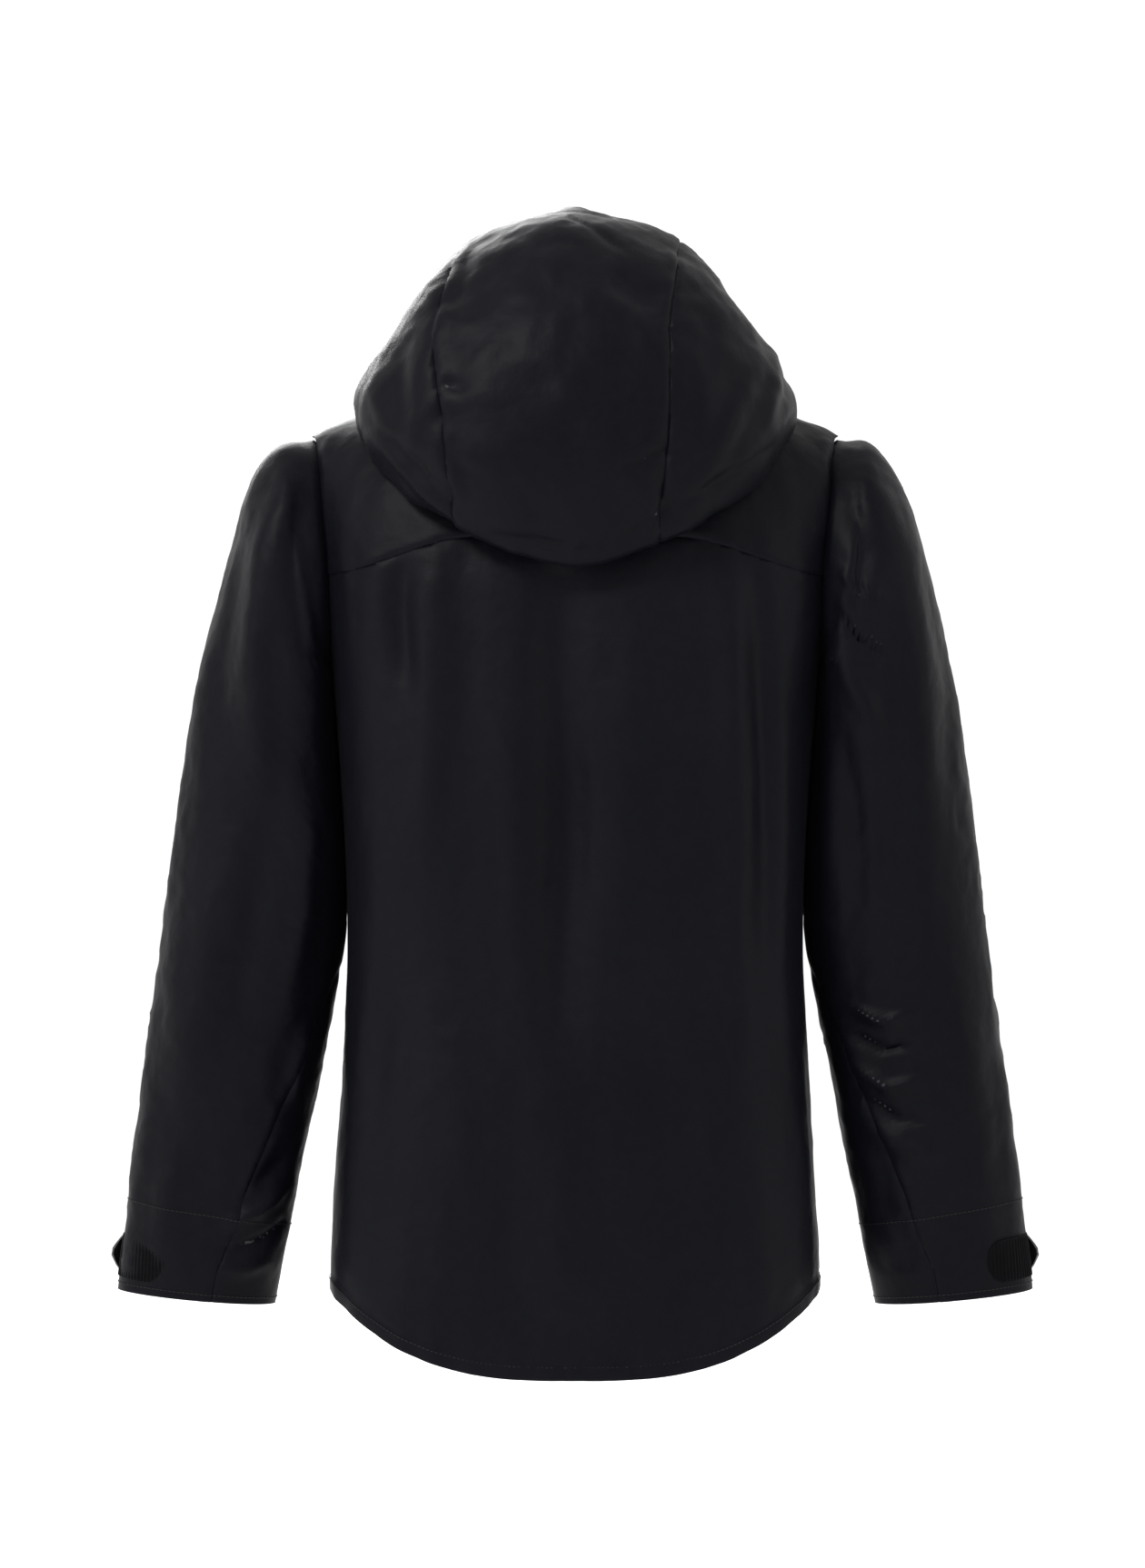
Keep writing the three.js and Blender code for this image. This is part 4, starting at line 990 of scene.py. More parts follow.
@dataclass
class PocketPlace:
    """Where a hand pocket's zip lies: x across it, y into the jacket and z up along it."""

    side: Side

    def __post_init__(self) -> None:
        """Works out the place and its axes from the front's own surface."""
        low, high = self.front_point(121, 178), self.front_point(112, 330)
        self.centre = (low + high) / 2
        self.half = float(np.linalg.norm(high - low)) / 2
        up = unit(high - low)
        x = float(self.centre[0]) * self.side.value
        across = unit(self.front_point(x + 5 * self.side.value, self.centre[2])
                      - self.front_point(x - 5 * self.side.value, self.centre[2]))
        inward = unit(np.cross(up, across))
        self.axes = np.stack([np.cross(inward, up), inward, up])

    def front_point(self, x: float, height: float) -> Array:
        """The front's surface at a place across and a height."""
        full = float(BODY.half_width(np.array(height)))
        rest = (1 - (x / full) ** 3) ** (1 / 3)
        return np.array([x * self.side.value, -(FRONT_DEPTH - FRONT_LEAN * height) * rest, height])

    def local(self, points: Array) -> Array:
        """Points in the zip's own axes."""
        return (points - self.centre) @ self.axes.T

    def garment(self, local: Array) -> Array:
        """Points from the zip's own axes."""
        return np.asarray(local, float) @ self.axes + self.centre


# ------------------------------------------------------------------ the hood
@dataclass
class HoodShell:
    """Hood panels and collar, with the rolled lower edge, panel seams and creases."""

    wardrobe: Wardrobe
    columns: int = 250
    rows: int = 135
    seam_left: tuple[tuple[float, float], ...] = (
        (600, 86), (633, 89), (686, 95), (753, 102), (813, 89), (835, 80))
    seam_right: tuple[tuple[float, float], ...] = (
        (600, -60), (613, -61), (686, -68), (760, -68), (832, -77), (840, -80))
    creases: tuple[Fold, ...] = (
        Fold(((17, 853), (-14, 836), (-45, 814)), -2.6, 4.5, 0.3),
        Fold(((-24, 800), (-44, 788), (-66, 778)), -5.0, 13),
        Fold(((-38, 770), (-52, 752), (-62, 728)), 3.0, 10),
        Fold(((-36, 657), (-56, 668), (-80, 672)), -5.0, 6, 0.35),
        Fold(((-30, 652), (-48, 640), (-58, 622)), 2.6, 8),
        Fold(((98, 716), (88, 719), (78, 714)), -3.4, 4.0, 0.4),
        Fold(((92, 676), (84, 660), (70, 652)), -2.8, 5, 0.3),
        Fold(((100, 690), (96, 664), (84, 640)), 2.8, 6),
        Fold(((104, 800), (98, 776), (88, 762), (70, 756)), 2.4, 7),
        Fold(((78, 806), (84, 786), (100, 770)), -2.6, 6),
        Fold(((62, 612), (30, 606), (0, 600), (-22, 603)), -3.4, 4.5, 0.5),
        Fold(((70, 622), (30, 618), (-10, 612)), 2.2, 6),
        Fold(((-20, 600), (-60, 626), (-100, 648), (-140, 676)), -2.6, 5, 0.4),
        Fold(((-76, 620), (-100, 668), (-132, 720)), 3.4, 10),
        Fold(((-96, 632), (-122, 690), (-150, 742)), -2.6, 8),
        Fold(((-140, 690), (-146, 730), (-142, 776)), 3.0, 5),
        Fold(((-152, 700), (-157, 735), (-150, 766)), -3.0, 5),
        Fold(((-120, 800), (-112, 816), (-100, 830)), 3.0, 6),
        Fold(((-128, 778), (-118, 790), (-104, 800)), -2.8, 6),
        Fold(((98, 760), (110, 720), (112, 690), (104, 660)), 4.2, 12),
        Fold(((124, 748), (128, 716), (122, 690)), -3.2, 8),
        Fold(((142, 742), (146, 716), (138, 694)), 2.8, 6),
        Fold(((150, 700), (118, 666), (84, 628)), -3.6, 6, 0.3),
        Fold(((146, 684), (112, 644), (74, 612)), 2.8, 6),
        Fold(((136, 668), (104, 632), (70, 604)), -2.4, 4, 0.4),
        Fold(((60, 640), (64, 700), (60, 760)), 2.0, 16),
        Fold(((-66, 690), (-60, 650), (-70, 612)), -2.4, 5),
        Fold(((-86, 748), (-92, 704), (-86, 660)), 2.6, 9),
    )

    def seams(self, points: Array) -> tuple[Array, Array]:
        """Distances across from the left and the right panel seam, above 0 on the seam's left."""
        x, y, z = points.T
        behind = smooth(-20, 20, y)
        left = 80 + (np.interp(z, *np.array(self.seam_left).T) - 80) * behind
        right = -80 + (np.interp(z, *np.array(self.seam_right).T) + 80) * behind
        return x - left, x - right

    def relief(self, points: Array) -> Array:
        """How far the cloth stands off its smooth form."""
        x, y, z = points.T
        back = smooth(-10, 45, y)
        left, right = self.seams(points)
        broad = 2.6 * noise(points, 62, 71) + 1.5 * noise(points, 30, 72)
        texture = 0.7 * crumple(points, 34, 73) + 0.4 * crumple(points, 15, 74) + 0.2 * crumple(points, 8, 75)
        sewn = felled_seam(-left) * 1.2 + felled_seam(right) * 1.2
        face = np.hypot(x / FACE_HALF[0], (z - FACE_HEIGHT) / FACE_HALF[1]) - 1
        by_face = smooth(0.3, 0.03, face) * (y < -30)
        near_neck = smooth(700, 716, z) * smooth(118, 98, np.hypot(x, y))
        flat = (1 - by_face) * (1 - 0.95 * near_neck * (z < 760))
        collar = smooth(-60, -90, y) * smooth(760, 735, z)
        creased = folded(points[:, [0, 2]], self.creases) * back
        return (broad + texture + creased) * flat * (1 - 0.75 * collar) + sewn

    def build(self) -> None:
        """Makes the three hood panels, the collar and the crown."""
        looks = [self.wardrobe.shell, self.wardrobe.lining]
        us = np.linspace(0, 1, self.columns + 1)[:-1]
        vs = HOOD.even(0, 1, 0.5, self.rows, False)
        vs[-1] = 0.9999
        web = grid(HOOD, us, vs, True)
        tip = len(web.points)
        ring = tuple(range(tip - self.columns, tip))
        web.faces.append(ring)
        x, y, z = web.points.T
        face = np.hypot(x / FACE_HALF[0], (z - FACE_HEIGHT) / FACE_HALF[1]) - 1
        web = web.keep(np.where(y < -30, face, 1))
        x, y, z = web.points.T
        chest = np.minimum((742 - z) / 10, (-30 - y) / 10)
        upper = web.keep(-chest)
        lower = web.keep(chest)
        left, right = self.seams(upper.points)
        parts = (("hood_centre", upper.keep(np.minimum(-left, right)), (0.2, 0.76)),
                 ("hood_side_left", upper.keep(left), (0.3, 0.46)),
                 ("hood_side_right", upper.keep(-right), (0.32, 0.46)))
        for name, part, size in parts:
            piece = cloth_piece(f"{name}_cloth", part.shaped(self.relief), looks)
            place_piece(piece, Body.JACKET, "shell_fabric", name)
        for side in Side:
            part = lower.keep(lower.points[:, 0] * side.value - ZIP_CHANNEL)
            piece = cloth_piece(f"collar_{side.word}_cloth", part.shaped(self.relief), looks)
            place_piece(piece, Body.JACKET, "shell_fabric", f"collar_{side.word}")


# ------------------------------------------------------------------ the sleeves
@dataclass
class Sleeve:
    """One sleeve: its upper and under panels, with creases at the elbow and above the cuff."""

    wardrobe: Wardrobe
    side: Side
    columns: int = 116
    rows: int = 186
    fold_gain: float = 1.6
    lean: float = 1.9
    left_folds: tuple[Fold, ...] = (
        Fold(((214, 652), (228, 600), (236, 520), (232, 430)), 5.0, 12),
        Fold(((206, 640), (206, 590), (198, 520)), -4.0, 9),
        Fold(((246, 640), (262, 560), (268, 470)), -3.0, 14),
        Fold(((222, 420), (238, 330), (252, 250)), -3.0, 13),
        Fold(((262, 380), (276, 280), (290, 190)), 2.8, 16),
        Fold(((192, 420), (200, 340), (214, 270)), 3.0, 9),
        Fold(((214, 128), (236, 112), (262, 102)), 3.4, 6, 0.3),
        Fold(((212, 106), (232, 92), (256, 84)), -3.2, 5, 0.3),
        Fold(((208, 160), (222, 148), (238, 128)), -3.0, 7),
        Fold(((230, 76), (244, 70), (262, 70)), 2.4, 5),
        Fold(((196, 246), (206, 218), (208, 190)), 3.0, 6),
        Fold(((300, 150), (306, 110), (312, 80)), 1.8, 12),
    )
    right_folds: tuple[Fold, ...] = (
        Fold(((-222, 655), (-240, 600), (-252, 500), (-258, 400)), 5.0, 14),
        Fold(((-206, 640), (-212, 600), (-204, 560)), -4.6, 8),
        Fold(((-196, 590), (-208, 574), (-224, 568)), 3.4, 5, 0.4),
        Fold(((-192, 560), (-208, 540), (-228, 528)), -3.8, 6, 0.4),
        Fold(((-188, 530), (-204, 505), (-222, 470)), 3.4, 8),
        Fold(((-190, 480), (-204, 420), (-210, 340)), -3.6, 10),
        Fold(((-236, 460), (-236, 370), (-246, 290)), -2.6, 13),
        Fold(((-206, 268), (-226, 258), (-244, 262)), 3.6, 6, 0.3),
        Fold(((-206, 246), (-226, 236), (-248, 240)), -3.6, 5, 0.4),
        Fold(((-210, 222), (-232, 208), (-254, 214)), 3.6, 6, 0.3),
        Fold(((-214, 200), (-236, 186), (-262, 184)), -3.2, 6, 0.4),
        Fold(((-220, 176), (-244, 160), (-266, 156)), 2.6, 7),
        Fold(((-284, 300), (-292, 210), (-304, 120)), 2.6, 14),
        Fold(((-230, 120), (-246, 92), (-250, 66)), -2.2, 8),
    )

    def __post_init__(self) -> None:
        """Lays the sleeve beside the body."""
        self.form = SleeveForm(self.side, BODY)

    def under_seam(self, points: Array) -> Array:
        """Distance from the under-sleeve seam, above 0 on the outer side of the arm."""
        x, z = points[:, 0] * self.side.value, points[:, 2]
        z_of = np.array([46, 69, 97, 125, 153, 195, 312, 420])
        x_of = np.array([270, 266, 253.5, 245, 233, 215, 170, 129])
        line = np.interp(z, z_of, x_of) - np.maximum(0, z - 420) * 0.4
        return (x - line) * 0.93

    def relief(self, points: Array) -> Array:
        """How far the cloth stands off its smooth form."""
        x, y, z = points.T
        seen = points[:, [0, 2]]
        folds = self.left_folds if self.side is Side.LEFT else self.right_folds
        back = smooth(-30, 15, y)
        drape = points * np.array([1.0, 1.0, 0.4])
        broad = 2.0 * noise(drape, 44, 80 + self.side.value) + 1.1 * noise(drape, 22, 84 + self.side.value)
        texture = 0.5 * crumple(points, 26, 86 + self.side.value) + 0.28 * crumple(points, 11, 90)
        elbow = smooth(190, 260, z) * smooth(420, 320, z) * smooth(10, -30, y)
        slanted = points @ np.array([[1, 0, 0.3], [0, 1, 0], [-0.5, 0, 1.0]])
        bunched = 2.4 * crumple(slanted * np.array([0.5, 0.5, 1.3]), 26, 95) * elbow
        gap = np.abs(x) - BODY.half_width(z)
        quiet = np.where(z < 520, smooth(2, 22, gap), 1)
        head = smooth(1, 14, np.abs(x) - BODY.side_reach(y, z))
        cuff = smooth(50, 74, z)
        creased = self.fold_gain * folded(seen, folds) * back
        free = quiet * np.where(z > 490, head, 1) * (0.15 + 0.85 * cuff)
        sewn = 0.8 * felled_seam(self.under_seam(points)) * smooth(430, 400, z)
        return (broad + texture + bunched + creased) * free + sewn + self.lean * (1 - quiet)

    def build(self) -> None:
        """Makes the two panels, the cuff's hem stitching and the cuff's lining."""
        looks = [self.wardrobe.shell, self.wardrobe.lining]
        us = np.linspace(0, 1, self.columns + 1)[:-1]
        vs = self.form.even(0, 1, 0.05, self.rows, False)
        web = grid(self.form, us, vs, True)
        outer = self.under_seam(web.points)
        for part, cut, size in (("upper", outer, (0.43, 0.68)), ("under", -outer, (0.19, 0.29))):
            node = f"sleeve_{part}_{self.side.word}"
            piece = cloth_piece(f"{node}_cloth", web.keep(cut).shaped(self.relief), looks)
            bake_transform(piece)
            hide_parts(node)
            log.info("%s bends from the armhole into the sleeve", piece.name)
        self.cuff_stitches()
        self.facing()

    def cuff_stitches(self) -> None:
        """Sews the cuff's hem."""
        us = np.linspace(0, 1, 260)
        for name, v in (("cuff_stitching_low", 0.9955), ("cuff_stitching_high", 0.948)):
            at = np.full_like(us, v)
            points, normals = self.form.point(us, at), self.form.normal(us, at)
            path = points + normals * (self.relief(points) + 0.25)[:, None]
            piece = stitch_row(f"{name}_{self.side.word}", path, normals, self.wardrobe.thread)
            place_piece(piece, self.side.sleeve, "shell_fabric")

    def facing(self) -> None:
        """Lines the cuff inside."""
        us = np.linspace(0, 1, 97)[:-1]
        web = grid(self.form, us, np.linspace(0.96, 0.998, 12), True)
        web = web.shaped(lambda p: -1.9 + 0.12 * noise(p, 9, 60))
        piece = cloth_piece(f"cuff_facing_{self.side.word}_cloth", web, [self.wardrobe.lining] * 2, 0.6)
        place_piece(piece, self.side.sleeve, "lining", f"cuff_facing_{self.side.word}")


@dataclass
class CuffClosure:
    """Loop patch, hook patch and moulded pull tab of one cuff."""

    wardrobe: Wardrobe
    side: Side
    low: float = 0.968
    high: float = 0.992

    def __post_init__(self) -> None:
        """Lays the closure on its sleeve."""
        self.form = SleeveForm(self.side, BODY)

    def strip(self, us: Array, vs: Array, depth: float) -> Web:
        """A patch of the sleeve's surface, at a depth below it."""
        web = grid(self.form, us, vs)
        return web.shaped(lambda p: np.full(len(p), -depth))

    def rounded(self, web: Web, us: Array, vs: Array, ends: Sequence[bool]) -> Web:
        """Cuts a patch's ends round.

        Args:
            web: The patch, straight from its grid.
            us: Its places across.
            vs: Its places along; not used.
            ends: Whether the first and the last end are rounded.

        Returns:
            The patch with round ends.
        """
        height = (web.grain[:, 1].max()) / 2
        across, along = web.grain[:, 0], web.grain[:, 1] - height
        length = np.repeat(web.grain[len(us) - 1::len(us), 0], len(us))
        inside = np.full(len(across), 5.0)
        if ends[0]:
            inside = np.where(across < height, height - np.hypot(across - height, along), inside)
        if ends[1]:
            far = length - across
            round_end = np.minimum(inside, height - np.hypot(far - height, along))
            inside = np.where(far < height, round_end, inside)
        return web.keep(inside + 0.05)

    def build(self) -> None:
        """Makes the ribbed loop patch, the hooks and the tab."""
        word = self.side.word
        us, vs = np.linspace(-0.2, 0.18, 220), np.linspace(self.low, self.high, 26)
        patch = self.rounded(self.strip(us, vs, -1.1), us, vs, (False, True))
        ribs = 0.34 * np.cos(patch.grain[:, 0] * 2 * np.pi / 3.1) * smooth(0, 2.2, patch.grain[:, 1])
        patch = patch.shaped(lambda _: ribs)
        piece = cloth_piece(f"cuff_loop_patch_{word}_pile", patch, [self.wardrobe.pile] * 2, 1.0)
        place_piece(piece, self.side.sleeve, "hook_and_loop", f"cuff_loop_patch_{word}")
        us, vs = np.linspace(-0.19, -0.08, 60), np.linspace(self.low + 0.003, self.high - 0.003, 20)
        hooks = self.strip(us, vs, -1.95)
        piece = cloth_piece(f"cuff_hook_{word}_hooks", hooks, [self.wardrobe.pile] * 2, 0.5)
        place_piece(piece, self.side.tab, "hook_and_loop", f"cuff_hook_{word}")
        self.tab()

    def tab(self) -> None:
        """Makes the moulded tab, with a raised rim, grip ridges and a pointed free end."""
        us, vs = np.linspace(-0.26, -0.07, 60), np.linspace(self.low, self.high, 17)
        web = grid(self.form, us, vs)
        rows, cols = len(vs), len(us)
        net = (web.points + web.normals * 3.8).reshape(rows, cols, 3)
        normals = web.normals.reshape(rows, cols, 3)
        middle = net[rows // 2, -1]
        along = unit(net[:, -1] - net[:, -3])
        extra, steps = [], np.linspace(0, 1, 15)[1:]
        for t in steps:
            narrow = 0.85 * t**2.2
            tip = net[:, -1] + along * 19 * t
            extra.append(tip + (middle + along * 19 * t - tip) * narrow)
        net = np.concatenate([net, np.stack(extra, axis=1)], axis=1)
        normals = np.concatenate([normals, np.repeat(normals[:, -1:], len(steps), axis=1)], axis=1)
        cols = net.shape[1]
        run = np.concatenate([[0], np.cumsum(np.linalg.norm(np.diff(net[rows // 2], axis=0), axis=1))])
        down = np.abs(np.linspace(-1, 1, rows))[:, None]
        rim = 0.35 * smooth(0.72, 0.86, down) * smooth(1.0, 0.95, down)
        ridges = 0.4 * np.maximum(0, np.sin(run * 2 * np.pi / 2.6)) * smooth(run[-1] - 30, run[-1] - 26, run)
        ridges = ridges[None] * smooth(0.66, 0.5, down) * smooth(run[-1] - 1, run[-1] - 4, run)[None]
        edge = -0.5 * smooth(0.93, 1.0, down)
        net = net + normals * (rim + ridges + edge)[..., None]
        grain = np.stack([np.tile(run, rows), np.repeat(np.linspace(0, 22, rows), cols)], axis=1)
        tab = Web(net.reshape(-1, 3), normals.reshape(-1, 3), grain, quads(rows, cols))
        piece = cloth_piece(f"cuff_tab_{self.side.word}_moulding", tab, [self.wardrobe.plastic] * 2, 1.5)
        place_piece(piece, self.side.tab, "moulded_plastic", f"cuff_tab_{self.side.word}")


# ------------------------------------------------------------------ zips, hardware and inner pieces
@dataclass
class SoftInner:
    """A sewn inner piece made from its frame node: finely divided, gently rippled and soft at its edges.

    Attributes:
        node: The frame node.
        look: Its material.
        slot: Its record slot; passed on to place_piece, which does not use it.
        flat: Its cut width and length in metres, or None where it isn't a sheet; not used.
        ripple: Height of the ripples in millimetres.
        cell: Largest edge in metres after dividing.
    """

    node: str
    look: bpy.types.Material
    slot: str
    flat: tuple[float, float] | None
    ripple: float = 0.25
    cell: float = 0.006

    def build(self) -> bpy.types.Object:
        """Makes the piece."""
        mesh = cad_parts[self.node].data.copy()
        mesh.name = f"{self.node}_cloth"
        bm = bmesh.new()
        bm.from_mesh(mesh)
        bmesh.ops.remove_doubles(bm, verts=bm.verts, dist=1e-6)
        for _ in range(7):
            long_edges = [e for e in bm.edges if e.calc_length() > self.cell]
            if not long_edges:
                break
            bmesh.ops.subdivide_edges(bm, edges=long_edges, cuts=1)
            bmesh.ops.triangulate(bm, faces=bm.faces[:])
        bm.normal_update()
        at = np.array([v.co for v in bm.verts]) / MM
        moved = self.ripple * (noise(at, 26, 50) + 0.5 * noise(at, 9, 51))
        for vert, rise in zip(bm.verts, moved):
            vert.co.y += float(rise) * MM
        bm.to_mesh(mesh)
        bm.free()
        mesh.materials.clear()
        mesh.materials.append(self.look)
        layer = mesh.attributes.new("grain", "FLOAT_VECTOR", "POINT")
        points = np.array([v.co for v in mesh.vertices])
        layer.data.foreach_set("vector", np.column_stack([points[:, 0], points[:, 2], points[:, 1]])
                               .astype(np.float32).ravel())
        mesh.shade_smooth()
        mesh.set_sharp_from_angle(angle=0.8)
        piece = bpy.data.objects.new(f"{self.node}_cloth", mesh)
        bpy.context.scene.collection.objects.link(piece)
        place_piece(piece, Body.JACKET, self.slot, self.node)
        return piece


def dress(node: str, look: bpy.types.Material) -> None:
    """Gives a frame node that is shown as it is a finish and soft edges."""
    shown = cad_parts[node]
    shown.data.materials.clear()
    shown.data.materials.append(look)
    bevel = shown.modifiers.new("eased_edges", "BEVEL")
    bevel.width = 0.00018
    bevel.segments = 2
    bevel.limit_method = "ANGLE"
    bevel.angle_limit = 0.6
    log.info("%s dressed", node)


@dataclass
class ZipLine:
    """A zip: two tapes and a coil of teeth on each, in its own frame.

    Attributes:
        name: The piece's name.
        wardrobe: The finishes.
        garment: Turns the zip's own millimetres into garment millimetres.
        low: Where the teeth start along the zip.
        high: Where they end.
        tape_low: Where the tape starts.
        tape_high: Where it ends.
    """

    name: str
    wardrobe: Wardrobe
    garment: Callable[[Array], Array]
    low: float
    high: float
    tape_low: float
    tape_high: float
    pitch: float = 1.9

    def build(self, *nodes: str) -> None:
        """Makes the tapes and the teeth, standing for the frame's zip."""
        points: list[tuple[float, float, float]] = []
        faces: list[tuple[int, ...]] = []
        profile = [(0.75, -0.2), (0.9, -1.1), (1.5, -1.45), (2.5, -1.35), (3.1, -0.7), (3.1, 0.5), (2.2, 1.2),
                   (0.9, 1.1)]
        for side in (1, -1):
            for k in range(int((self.high - self.low) / self.pitch)):
                base = len(points)
                z = self.low + (k + (0.25 if side > 0 else 0.75)) * self.pitch
                for dz, size in ((-0.42, 0.82), (-0.2, 1.0), (0.2, 1.0), (0.42, 0.82)):
                    points += [(side * (1.9 + (x - 1.9) * size), y * size, z + dz * self.pitch)
                               for x, y in profile]
                count = len(profile)
                for r in range(3):
                    for i in range(count):
                        ring = (base + r * count + i, base + r * count + (i + 1) % count)
                        faces.append((ring[0], ring[1], ring[1] + count, ring[0] + count)[::side])
                faces.append(tuple(base + i for i in range(count))[::-side])
                faces.append(tuple(base + 3 * count + i for i in range(count))[::side])
        coil = self.garment(np.array(points))
        teeth = make_piece(f"{self.name}_teeth", coil, faces, [self.wardrobe.plastic])
        place_piece(teeth, Body.JACKET, "zip_tape")
        for side, word in ((1, "left"), (-1, "right")):
            us = np.linspace(1.2, 9.4, 14)
            rows = max(12, int((self.tape_high - self.tape_low) / 4))
            vs = np.linspace(self.tape_low, self.tape_high, rows)
            u, v = np.meshgrid(us, vs)
            rib = 0.14 * np.cos((u - 1.2) * 2 * np.pi / 1.4) + 0.12 * np.sin(v / 23.0)
            local = np.stack([side * u.ravel(), 0.75 + rib.ravel() * 0.5, v.ravel()], axis=1)
            out = np.tile([0.0, -1.0, 0.0], (len(local), 1))
            normals = self.garment(local + out) - self.garment(local)
            grain = np.stack([u.ravel(), v.ravel()], axis=1)
            tape = Web(self.garment(local), normals, grain, quads(len(vs), len(us)))
            piece = cloth_piece(f"{self.name}_tape_{word}", tape, [self.wardrobe.tape] * 2, 0.7)
            place_piece(piece, Body.JACKET, "zip_tape", *(n for n in nodes if word in n or len(nodes) == 1))


@dataclass
class FrontOpening:
    """The front zip with its slider, pull and box, the flap behind it and the chin guard."""

    wardrobe: Wardrobe

    def garment(self, local: Array) -> Array:
        """Garment millimetres from the front zip's own frame."""
        tilt = math.atan(FRONT_LEAN)
        x, y, z = np.asarray(local, float).T
        back = y * math.cos(tilt) + z * math.sin(tilt) - FRONT_DEPTH
        return np.stack([x, back, z * math.cos(tilt) - y * math.sin(tilt)], axis=1)

    def build(self) -> None:
        """Makes the zip and dresses its metal and plastic."""
        line = ZipLine("front_zip", self.wardrobe, self.garment, 67, 739, 66, 740)
        line.build("front_zip_left", "front_zip_right")
        dress("front_zip_slider", self.wardrobe.lacquer)
        dress("front_zip_pull", self.wardrobe.plastic)
        dress("front_zip_box", self.wardrobe.plastic)
        SoftInner("storm_flap", self.wardrobe.shell, "lining", (0.036, 0.67), 0.3, 0.009).build()
        SoftInner("chin_guard", self.wardrobe.lining, "lining", (0.042, 0.044), 0.12, 0.004).build()


@dataclass
class HandPocket:
    """A hand pocket: its zip, slider, pull and bag."""

    wardrobe: Wardrobe
    side: Side

    def build(self) -> None:
        """Makes the pocket."""
        word = self.side.word
        place = PocketPlace(self.side)
        line = ZipLine(f"pocket_zip_{word}", self.wardrobe, place.garment, 4.5 - place.half, place.half - 4.5,
                       0.4 - place.half, place.half - 0.4)
        line.build(f"pocket_zip_{word}")
        dress(f"pocket_slider_{word}", self.wardrobe.lacquer)
        dress(f"pocket_pull_{word}", self.wardrobe.plastic)
        SoftInner(f"pocket_bag_{word}", self.wardrobe.lining, "lining", None, 0.3, 0.011).build()


@dataclass
class CordLocks:
    """The four barrel cord locks with their buttons and springs."""

    wardrobe: Wardrobe

    def build(self) -> None:
        """Dresses the locks."""
        for place in ("hem", "hood"):
            for side in Side:
                name = f"{place}_lock_{side.word}"
                dress(f"{name}_housing", self.wardrobe.plastic)
                dress(f"{name}_button", self.wardrobe.plastic)
                dress(f"{name}_spring", self.wardrobe.steel)


@dataclass
class Edging:
    """Drawcords, hem channel, face binding, brim, neck tape and hang loop."""

    wardrobe: Wardrobe

    def build(self) -> None:
        """Makes the edging."""
        for node in ("hem_drawcord", "hood_drawcord"):
            SoftInner(node, self.wardrobe.cord, "elastic_cord", None, 0.0, 0.008).build()
        SoftInner("hem_channel", self.wardrobe.lining, "lining", (1.05, 0.03), 0.2, 0.008).build()
        SoftInner("hood_face_binding", self.wardrobe.lining, "lining", (0.4, 0.018), 0.1, 0.005).build()
        SoftInner("neck_tape", self.wardrobe.tape, "lining", (0.2, 0.024), 0.1, 0.004).build()
        SoftInner("hang_loop", self.wardrobe.tape, "zip_tape", None, 0.0, 0.002).build()
        self.brim()

    def brim(self) -> None:
        """Makes the hood's laminated peak with its stitched edge."""
        first, columns = 0.3, 90
        turns = np.linspace(first, math.pi - first, columns)
        bulge = np.maximum(0, np.sin((turns - first) / (math.pi - 2 * first) * math.pi)) ** 0.7
        root = HOOD.face_edge(turns, 3, -0.8)
        ribs = []
        for share in np.linspace(0, 1, 16):
            lift = 2.2 + 0.4 * math.sin(share * math.pi) - 0.6 * share**3
            reach = -share * (2 + 34 * bulge)
            ribs.append(root + np.stack([np.zeros(columns), reach, lift - 7 * share * np.sin(turns)], axis=1))
        net = np.stack(ribs)
        along_u = np.gradient(net, axis=1)
        along_v = np.gradient(net, axis=0)
        normals = unit(np.cross(along_u, along_v)).reshape(-1, 3)
        normals *= np.where(normals[:, 2:] < 0, -1, 1)
        rows, cols = net.shape[:2]
        along, across = np.linspace(0, 190, cols), np.linspace(0, 36, rows)
        grain = np.stack([np.tile(along, rows), np.repeat(across, cols)], axis=1)
        web = Web(net.reshape(-1, 3), normals, grain, quads(rows, cols))
        web = web.shaped(lambda points: 0.25 * noise(points, 24, 55))
        piece = cloth_piece("hood_brim_cloth", web, [self.wardrobe.shell] * 2, 1.7)
        place_piece(piece, Body.JACKET, "shell_fabric", "hood_brim")
        for share, name in ((14, "outer"), (12, "inner")):
            row = slice(share * cols + 4, (share + 1) * cols - 4)
            path = web.points[row] + normals[row] * 0.2
            stitches = stitch_row(f"hood_brim_stitching_{name}", path, normals[row], self.wardrobe.thread)
            place_piece(stitches, Body.JACKET, "shell_fabric")


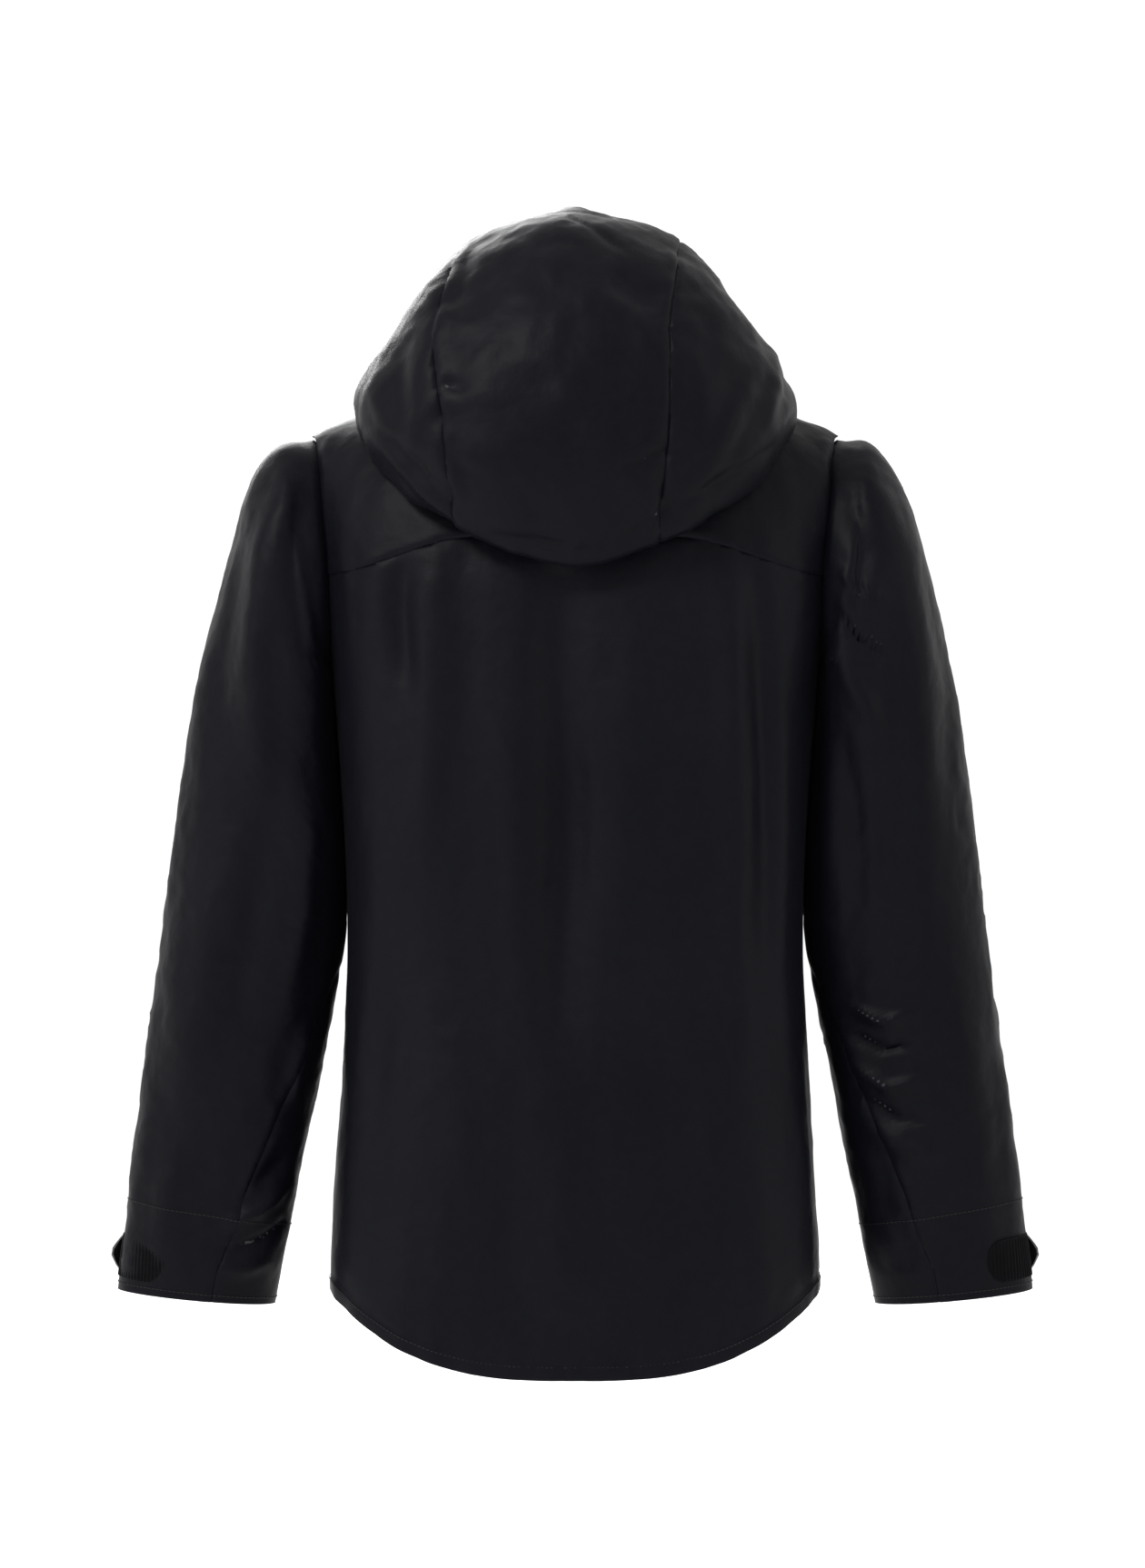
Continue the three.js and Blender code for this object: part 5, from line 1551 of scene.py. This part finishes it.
# ------------------------------------------------------------------ the studio
@dataclass
class Studio:
    """Pale floor, soft light all round and the camera behind the jacket."""

    distance: float = 3.5
    view_height: float = 1.151
    aim: tuple[float, float] = (0.002, -0.307)
    drop: float = 0.3

    def softbox(self, name: str, at: tuple[float, float, float], to: tuple[float, float, float],
                size: tuple[float, float], power: float) -> None:
        """Hangs a soft light."""
        light = bpy.data.lights.new(name, "AREA")
        light.shape = "RECTANGLE"
        light.size, light.size_y = size
        light.energy = power
        lamp = bpy.data.objects.new(name, light)
        lamp.location = at
        lamp.rotation_euler = (Vector(to) - Vector(at)).to_track_quat("-Z", "Y").to_euler()
        bpy.context.scene.collection.objects.link(lamp)

    def build(self) -> None:
        """Makes the camera, the floor and the lights."""
        lens = bpy.data.cameras.new("behind")
        lens.sensor_width = 36
        lens.lens = 36 * self.distance / self.view_height
        camera = bpy.data.objects.new("behind", lens)
        camera.location = (self.aim[0], self.distance, self.aim[1])
        camera.rotation_euler = (math.pi / 2, 0, math.pi)
        bpy.context.scene.collection.objects.link(camera)
        bpy.context.scene.camera = camera
        low = CAD_BOX[0].z - self.drop
        mesh = bpy.data.meshes.new("studio_floor")
        reach = 30.0
        corners = [(-reach, -reach, low), (reach, -reach, low), (reach, reach, low), (-reach, reach, low)]
        mesh.from_pydata(corners, [], [(0, 1, 2, 3)])
        floor = bpy.data.objects.new("studio_floor", mesh)
        pale = Nodes("pale_floor")
        pale.shader.inputs["Base Color"].default_value = (0.97, 0.97, 0.97, 1)
        pale.shader.inputs["Roughness"].default_value = 0.9
        pale.shader.inputs["Specular IOR Level"].default_value = 0.0
        mesh.materials.append(pale.material)
        bpy.context.scene.collection.objects.link(floor)
        world = bpy.data.worlds.new("studio")
        world.use_nodes = True
        world.node_tree.nodes["Background"].inputs["Color"].default_value = (1, 1, 1, 1)
        world.node_tree.nodes["Background"].inputs["Strength"].default_value = 1.06
        bpy.context.scene.world = world
        bpy.context.scene.view_settings.view_transform = "Standard"
        self.softbox("key", (1.8, 2.4, 2.0), (0, 0, -0.3), (0.8, 0.8), 95)
        self.softbox("side_left", (3.0, 1.5, 0.5), (0, 0, -0.3), (0.6, 1.8), 20)
        self.softbox("side_right", (-3.0, 1.2, 0.5), (0, 0, -0.3), (0.6, 1.8), 12)
        self.softbox("front", (0.8, -3.2, 1.4), (0, 0, -0.3), (1.6, 1.6), 80)


def main() -> None:
    """Builds the jacket's looks and the studio."""
    Studio().build()
    wardrobe = Wardrobe()
    Torso(wardrobe).build()
    HoodShell(wardrobe).build()
    for side in Side:
        Sleeve(wardrobe, side).build()
        CuffClosure(wardrobe, side).build()
        HandPocket(wardrobe, side).build()
    FrontOpening(wardrobe).build()
    CordLocks(wardrobe).build()
    Edging(wardrobe).build()


if __name__ == "__main__":
    main()
